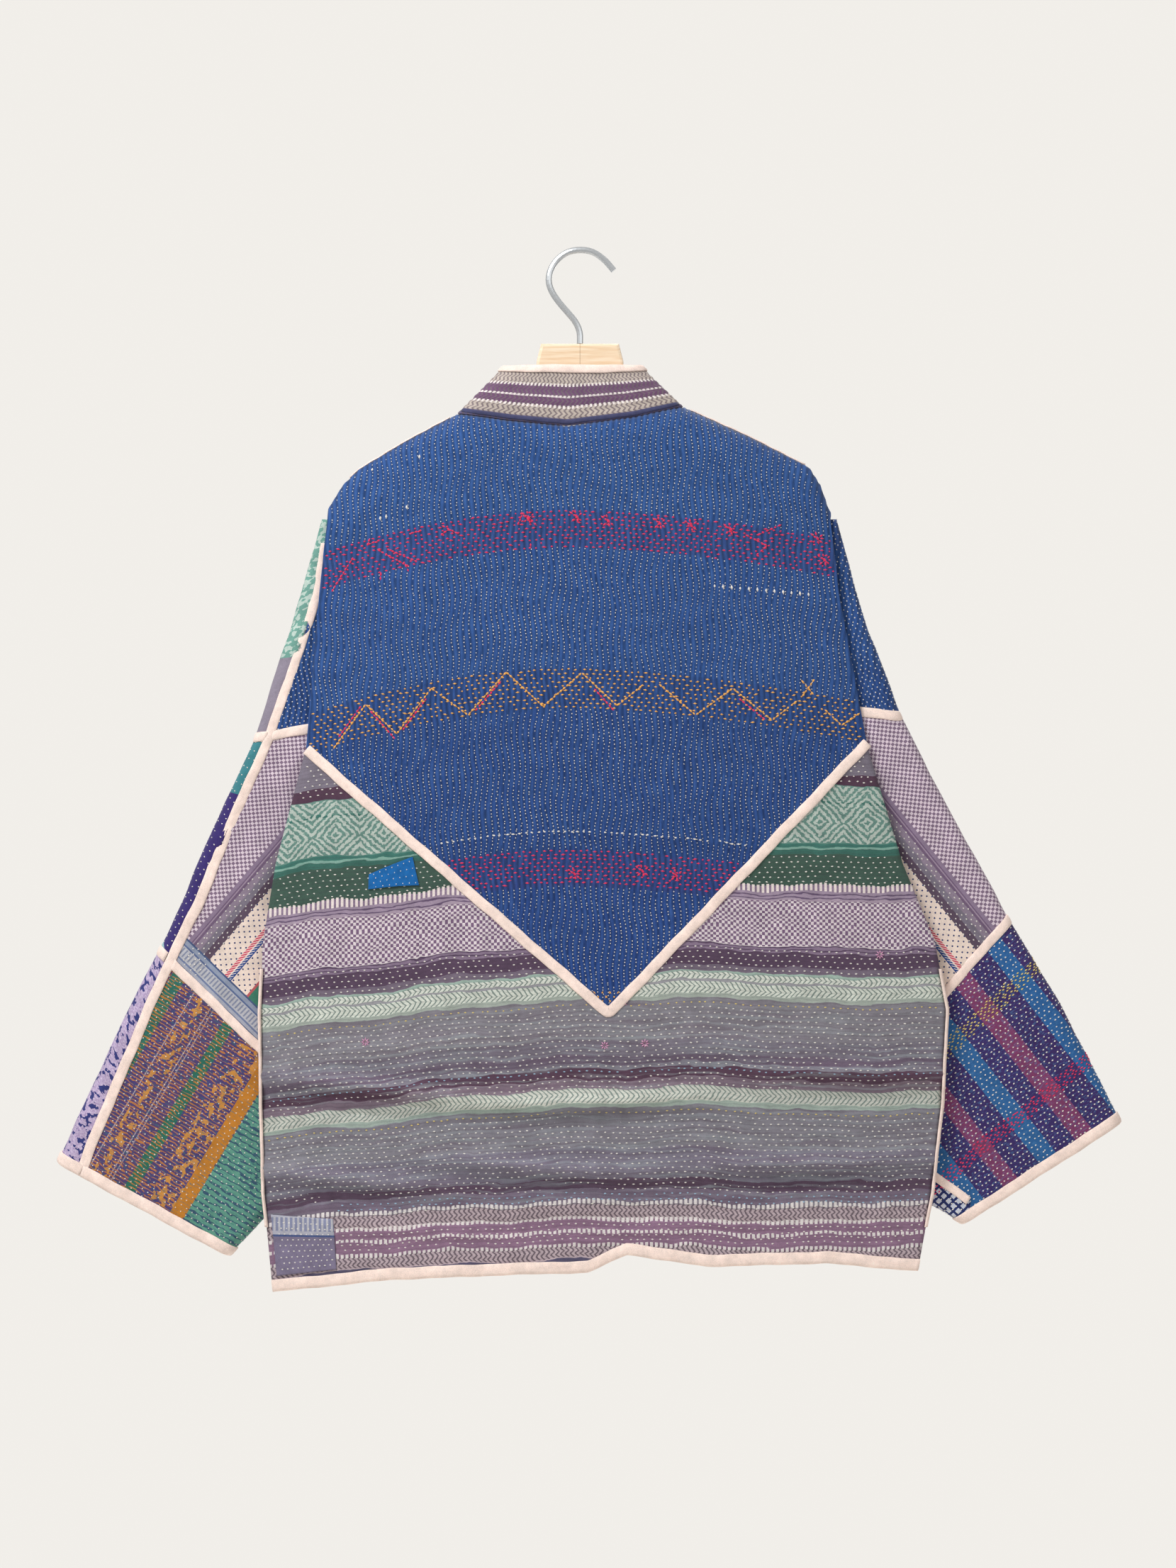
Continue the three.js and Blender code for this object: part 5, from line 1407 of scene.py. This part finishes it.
ZIGZAG = [
    [(472.7, 1056), (518.5, 994), (562, 1035), (610.5, 971.5), (662, 1009), (715.5, 949), (767, 997),
     (821, 950), (870, 996), (905, 968)],
    [(929, 966), (980, 1009), (1032, 971.5), (1087, 1016), (1122, 989)], [(1128, 960), (1146, 981)],
    [(1129, 983), (1147, 958)], [(1161, 1001), (1185, 1023), (1211, 1006)]]
loose_lines("yoke_zigzag_thread", ZIGZAG, 3.6, 5.2, YELLOW, "yoke", 2.0)
RED_TRACES = [
    [(480, 1040), (512, 996)], [(525, 1003), (560, 1043)], [(570, 1030), (604, 985)],
    [(672, 1003), (708, 962)], [(838, 972), (866, 1003)], [(1040, 985), (1078, 1016)],
    [(524, 761), (520, 772)], [(525, 768), (540, 763)], [(535, 777), (579, 801)], [(548, 776), (592, 795)],
    [(574, 797), (579, 809)], [(581, 755), (598, 750)], [(625, 744), (649, 756)], [(623, 758), (637, 748)],
    [(470, 836), (501, 787)], [(540, 809), (539, 820)], [(734, 726), (758, 744)], [(731, 744), (738, 729)],
    [(749, 768), (750, 775)], [(1050, 757), (1080, 772), (1064, 786)], [(1066, 757), (1100, 742)]]
loose_lines("yoke_red_traces", RED_TRACES, 3.4, 4.8, RED, "yoke", 1.9)
KNOTS = [(746, 732), (813, 731), (857, 737), (929, 740), (973, 743), (1028, 748), (1150, 760), (1160, 790),
         (905, 1226), (810, 1230), (952, 1232)]
TUFT = [((-9, -6), (8, 7)), ((-7, 8), (9, -5)), ((-2, -9), (3, 10))]
tufts = [[(px + a[0], py + a[1]), (px + b[0], py + b[1])] for px, py in KNOTS for a, b in TUFT]
loose_lines("yoke_red_knots", tufts, 3.2, 4.6, RED, "yoke", 1.9)
LATTICE = [[(836 + 11 * k, 1394), (852 + 11 * k, 1412)] for k in range(3)] + [
    [(852 + 11 * k, 1394), (836 + 11 * k, 1412)] for k in range(3)]
loose_lines("yoke_tip_lattice", LATTICE, 4.2, 3.8, YELLOW, "yoke", 1.2)
WORN = [[(594, 644), (594, 651)], [(547, 725), (547, 736)], [(538, 729), (539, 737)],
        [(575, 714), (577, 722)], [(527, 662), (527, 667)]]
WORN += [[(1006 + 12 * k, 824 + k), (1007 + 12 * k, 833 + k)] for k in range(12)]
loose_lines("yoke_worn_specks", WORN, 9.0, 5.2, IVORY, "yoke", 2.4)

# %% [markdown]
# On the striped cloth the thread runs in staggered rows along the stripes, and changes to lemon or sky in a
# few rows. The patterned bands are left bare, as on the real cloth, where the brocade would hide the
# stitches.

# %% Stitches of the striped cloth
SEWN_ZONES = [(424, 463), (524, 550), (605, 629), (654, 729), (746, 829), (844, 862)]
YELLOW_ROWS = [(654, 658), (746, 753)]
SKY_ROWS = [(818, 827), (712, 716)]
row_v, place_x = np.meshgrid(np.arange(424, 880, ROW), np.arange(-276, 322, 6.5))
stagger = np.where(np.round(row_v / ROW) % 2 == 0, 0, 3.25)
stitch_x = (place_x + stagger + 2.0 * np.sin(row_v / 13.0) + rng.normal(0, 0.45, row_v.shape)).ravel()
stitch_v = (row_v + rng.normal(0, 0.22, row_v.shape)).ravel()
stitch_z = stripe_arch(stitch_x, -stitch_v) - stitch_v
stitch_z = stripe_arch(stitch_x, stitch_z) - stitch_v


def in_zones(v, zones):
    return np.any([(v > low) & (v < high) for low, high in zones], axis=0)


PATCH_X, PATCH_Z = [(-268, -208)], [(-886, -828)]
covered = in_zones(stitch_x, PATCH_X) & in_zones(stitch_z, PATCH_Z)
usable = in_lower(stitch_x, stitch_z) & in_zones(stitch_v, SEWN_ZONES) & ~covered
usable &= rng.random(len(stitch_x)) > 0.05
yellow_mask = in_zones(stitch_v, YELLOW_ROWS)
sky_mask = in_zones(stitch_v, SKY_ROWS)
sewn["lower"] = []
dyes = (("ivory", ~yellow_mask & ~sky_mask, IVORY), ("yellow", yellow_mask, LEMON), ("sky", sky_mask, SKY))
for label, mask, material in dyes:
    chosen = usable & mask
    x, z, v = stitch_x[chosen], stitch_z[chosen], stitch_v[chosen]
    centre, normal = back_frame(x, z, row_relief(x, v) + fold_sum(x, z, CREASES))
    tilt = RIGHT + DOWN * rng.normal(0, 0.1, (len(x), 1))
    sewn["lower"].append(stitches(
        f"lower_{label}_stitches", centre, tilt, normal, rng.uniform(2.6, 3.5, len(x)), 1.25, material))
FLOWERS = [(518, 1467), (853, 1471), (909, 1468), (1239, 1345), (879, 1410)]
PETALS = [(7.5, 0), (0, 7.5), (5.5, 5.5), (5.5, -5.5)]
petals = [[(px - dx, py - dy), (px + dx, py + dy)] for px, py in FLOWERS for dx, dy in PETALS]
loose_lines("lower_flowers", petals, 3.5, 4.2, PINK, "lower", 1.2)

# %% [markdown]
# The sleeves' stitches follow their own stripes. Each place is laid out on the flat cloth, then found on
# the hanging sleeve by a search for the nearest point of a fine net, because the walls curve round at their
# edges.

# %% Stitches of the sleeves
def sleeve_stitches(name, form, side, part, wall, origin, run, lattice, length, material, rule=None,
                    across_rows=True):
    """Stitches on a staggered lattice (along, aside) laid on the flat cloth."""
    points, normals, relief, search = sleeve_net(form, side, part, wall)
    outer = points + normals * (WALL / 2 + relief)[:, None]
    t = unit(np.array(run, float))
    n = np.array([abs(t[1]), abs(t[0])]) if t[0] <= 0 else np.array([-t[1], t[0]])
    rows, places = np.meshgrid(np.arange(-30, 300, lattice[0]), np.arange(-160, 240, lattice[1]))
    shift = np.where(np.round(rows / lattice[0]) % 2 == 0, 0, lattice[1] / 2)
    along, aside = (rows, places + shift) if across_rows else (places + shift, rows - 130)
    along = (along + rng.normal(0, 0.3, rows.shape)).ravel()
    aside = (aside + rng.normal(0, 0.3, rows.shape)).ravel()
    if rule is not None:
        chosen = rule(along, aside)
        along, aside = along[chosen], aside[chosen]
    spots = np.array(origin) + along[:, None] * t + aside[:, None] * n
    found = [search.find((a, b, 0)) for a, b in spots]
    hits = np.array([item[1] for item in found if item[2] < 1.6])
    way = n if across_rows else t
    direction = np.tile([way[0], 0, -way[1]], (len(hits), 1))
    return stitches(name, outer[hits], direction, normals[hits], rng.uniform(0.85, 1.15, len(hits)) * length,
                    1.35, material)


def plum_stripes(along, aside):
    return (aside > 7) & (aside < 25)


def yellow_rows(along, aside):
    return np.abs(along - 45 - 0.08 * aside) < 7


def red_rows(along, aside):
    return np.abs(along - 137 - 0.03 * aside) < 6.5


def plain_rows(along, aside):
    return ~yellow_rows(along, aside) & ~red_rows(along, aside)


sewn["left"] = [
    sleeve_stitches("left_cuff_stitches", LEFT_SLEEVE, -1, "cuff", "back", *LEFT_CUFF, (5.2, 5.6), 1.7,
                    IVORY),
    sleeve_stitches("left_upper_stitches", LEFT_SLEEVE, -1, "upper", "back", (-236, 230), (-0.3, 0.95),
                    (3.2, 4.8), 1.7, IVORY),
    sleeve_stitches("left_middle_stitches", LEFT_SLEEVE, -1, "middle", "back", *LEFT_MIDDLE, (3.3, 6.2), 2.3,
                    IVORY, plum_stripes, False),
    sleeve_stitches("left_front_stitches", LEFT_SLEEVE, -1, "middle", "front", *LEFT_MIDDLE, (5, 6.2), 2.0,
                    IVORY)]
sewn["right"] = [
    sleeve_stitches("right_cuff_stitches", RIGHT_SLEEVE, 1, "cuff", "back", *RIGHT_CUFF, (4.4, 4.6), 2.6,
                    IVORY, plain_rows),
    sleeve_stitches("right_cuff_yellow", RIGHT_SLEEVE, 1, "cuff", "back", *RIGHT_CUFF, (2.2, 4.8), 3.8,
                    LEMON, yellow_rows),
    sleeve_stitches("right_cuff_red", RIGHT_SLEEVE, 1, "cuff", "back", *RIGHT_CUFF, (2.2, 4.8), 3.6, RED,
                    red_rows),
    sleeve_stitches("right_upper_stitches", RIGHT_SLEEVE, 1, "upper", "back", (240, 230), (0.3, 0.95),
                    (3.2, 4.8), 1.7, IVORY),
    sleeve_stitches("right_middle_stitches", RIGHT_SLEEVE, 1, "middle", "back", *RIGHT_MIDDLE, (3.3, 6.2),
                    2.3, IVORY, plum_stripes, False),
    sleeve_stitches("right_front_stitches", RIGHT_SLEEVE, 1, "cuff", "front", *RIGHT_CUFF, (5, 5.6), 2.2,
                    IVORY)]

# %% [markdown]
# The patches are held by a few rows of small stitches, and the fronts by rows like those of the back.

# %% Stitches of the patches and the fronts
def patch_stitches(name, corners, length, rows, columns):
    u, f = np.meshgrid(np.linspace(0.1, 0.9, columns), np.linspace(0.12, 0.9, rows))
    u = u + np.where(np.arange(rows)[:, None] % 2 == 0, 0, 0.04)
    spot = on_patch(corners, u, f).reshape(-1, 3)
    normal = np.tile([0, -1.0, 0], (len(spot), 1))
    return stitches(name, spot + normal * PATCH_FAR, np.tile(RIGHT, (len(spot), 1)), normal, length, 1.3,
                    IVORY)


sewn["blue"] = [patch_stitches("blue_patch_stitches", BLUE_CORNERS, 1.3, 4, 7)]
sewn["corner"] = [patch_stitches("corner_patch_stitches", CORNER_CORNERS, 2.4, 9, 10)]
for label, side in SIDES:
    middle = front_middles[label]
    normals = grid_normals(middle, -side)
    rows, columns = np.meshgrid(np.arange(14, middle.shape[0] - 3), np.arange(4, middle.shape[1] - 2, 2),
                                indexing="ij")
    columns = columns + rows % 2
    relief = fold_sum(middle[..., 0], middle[..., 2], FRONT_CREASES) + SEWN_LIFT
    outer = middle + normals * (WALL / 2 + relief)[..., None]
    flat_normals, centre = (grid[rows, columns].reshape(-1, 3) for grid in (normals, outer))
    sewn[f"front_{label}"] = [stitches(
        f"front_{label}_stitches", centre, np.tile(RIGHT, (len(centre), 1)), flat_normals, 2.4, 1.4, IVORY)]

# %% [markdown]
# Every cloth piece was cut flat before it was sewn and hung. Below, each sleeve panel's middle points are
# gathered with the tapes and stitches that lie on it.


# The tape along the lower edge of each sleeve panel
LOW_TAPE = {"upper": "upper", "middle": "lower", "cuff": "cuff"}


def tapes(*names):
    return [bindings[name] for name in names]


for label in ("left", "right"):
    for part in PARTS:
        for wall in WALLS:
            name = f"{label}_{part}_{wall}"
            points = panel_middles[name]
            extra = tapes(f"{label}_{LOW_TAPE[part]}_{wall}")
            if wall == "back" and part == "middle":
                extra += tapes(f"{label}_top") + sewn[label]
            if name == "right_cuff_back":
                extra += tapes("right_turned")

# %% [markdown]
# The camera stands straight in front of the jacket's back and far off, so the flat garment is drawn nearly
# true. A large soft light from the upper left, a weaker one from the right and a pale world give the flat,
# even light. A third light stands behind for the fronts. The floor and the pale backdrop are stage, not
# part of the jacket.

# %% Camera, light and floor
FRAME_CENTRE = (9, -464)
FRAME_HEIGHT = 1371
CAMERA_DISTANCE = 3000
SENSOR_HEIGHT = 36
camera_data = bpy.data.cameras.new("camera")
camera = bpy.data.objects.new("camera", camera_data)
bpy.context.scene.collection.objects.link(camera)
camera.location = (FRAME_CENTRE[0] * MM, -CAMERA_DISTANCE * MM, FRAME_CENTRE[1] * MM)
camera.rotation_euler = (np.pi / 2, 0, 0)
camera_data.sensor_fit = "VERTICAL"
camera_data.sensor_height = SENSOR_HEIGHT
camera_data.lens = SENSOR_HEIGHT * CAMERA_DISTANCE / FRAME_HEIGHT
bpy.context.scene.camera = camera


def soft_light(name, place, size, power):
    data = bpy.data.lights.new(name, "AREA")
    data.shape = "SQUARE"
    data.size = size
    data.energy = power
    lamp = bpy.data.objects.new(name, data)
    bpy.context.scene.collection.objects.link(lamp)
    lamp.location = place
    aim = np.array([0.0, 0.0, -0.5]) - np.array(place)
    lamp.rotation_euler = (np.arctan2(np.hypot(aim[0], aim[1]), -aim[2]), 0,
                           np.arctan2(aim[1], aim[0]) - np.pi / 2)
    return lamp


soft_light("key", (-1.3, -1.5, 1.5), 1.0, 66)
soft_light("fill", (2.2, -2.4, 0.2), 2.0, 12)
soft_light("behind", (0.6, 2.6, 1.0), 2.0, 40)
world = bpy.data.worlds.new("pale_room")
bpy.context.scene.world = world
world.use_nodes = True
world.node_tree.nodes["Background"].inputs["Color"].default_value = linear("#F2EFEA")
world.node_tree.nodes["Background"].inputs["Strength"].default_value = 0.5
bpy.context.scene.view_settings.view_transform = "Standard"

FLOOR_Z, FLOOR_SIZE = -1550, 3
bpy.ops.mesh.primitive_plane_add(size=FLOOR_SIZE, location=(0, 0, FLOOR_Z * MM))
floor = bpy.context.object
floor.name = "floor"
BACKDROP_Y, BACKDROP_SIZE = 7000, 20
bpy.ops.mesh.primitive_plane_add(size=BACKDROP_SIZE, location=(0, BACKDROP_Y * MM, 0),
                                 rotation=(np.pi / 2, 0, 0))
backdrop = bpy.context.object
backdrop.name = "paper_backdrop"
for piece, name, glow in ((floor, "pale_floor", 0.0), (backdrop, "lit_backdrop_paper", 0.98)):
    piece.select_set(True)
    bpy.context.view_layer.objects.active = piece
    bpy.ops.object.transform_apply(location=True, rotation=True)
    piece.select_set(False)
    pale, _, pale_shader = new_material(name, 0.8)
    pale_shader.inputs["Base Color"].default_value = linear("#000000" if glow else "#EFECE6")
    pale_shader.inputs["Emission Color"].default_value = linear("#F2EFEA")
    pale_shader.inputs["Emission Strength"].default_value = glow
    piece.data.materials.append(pale)
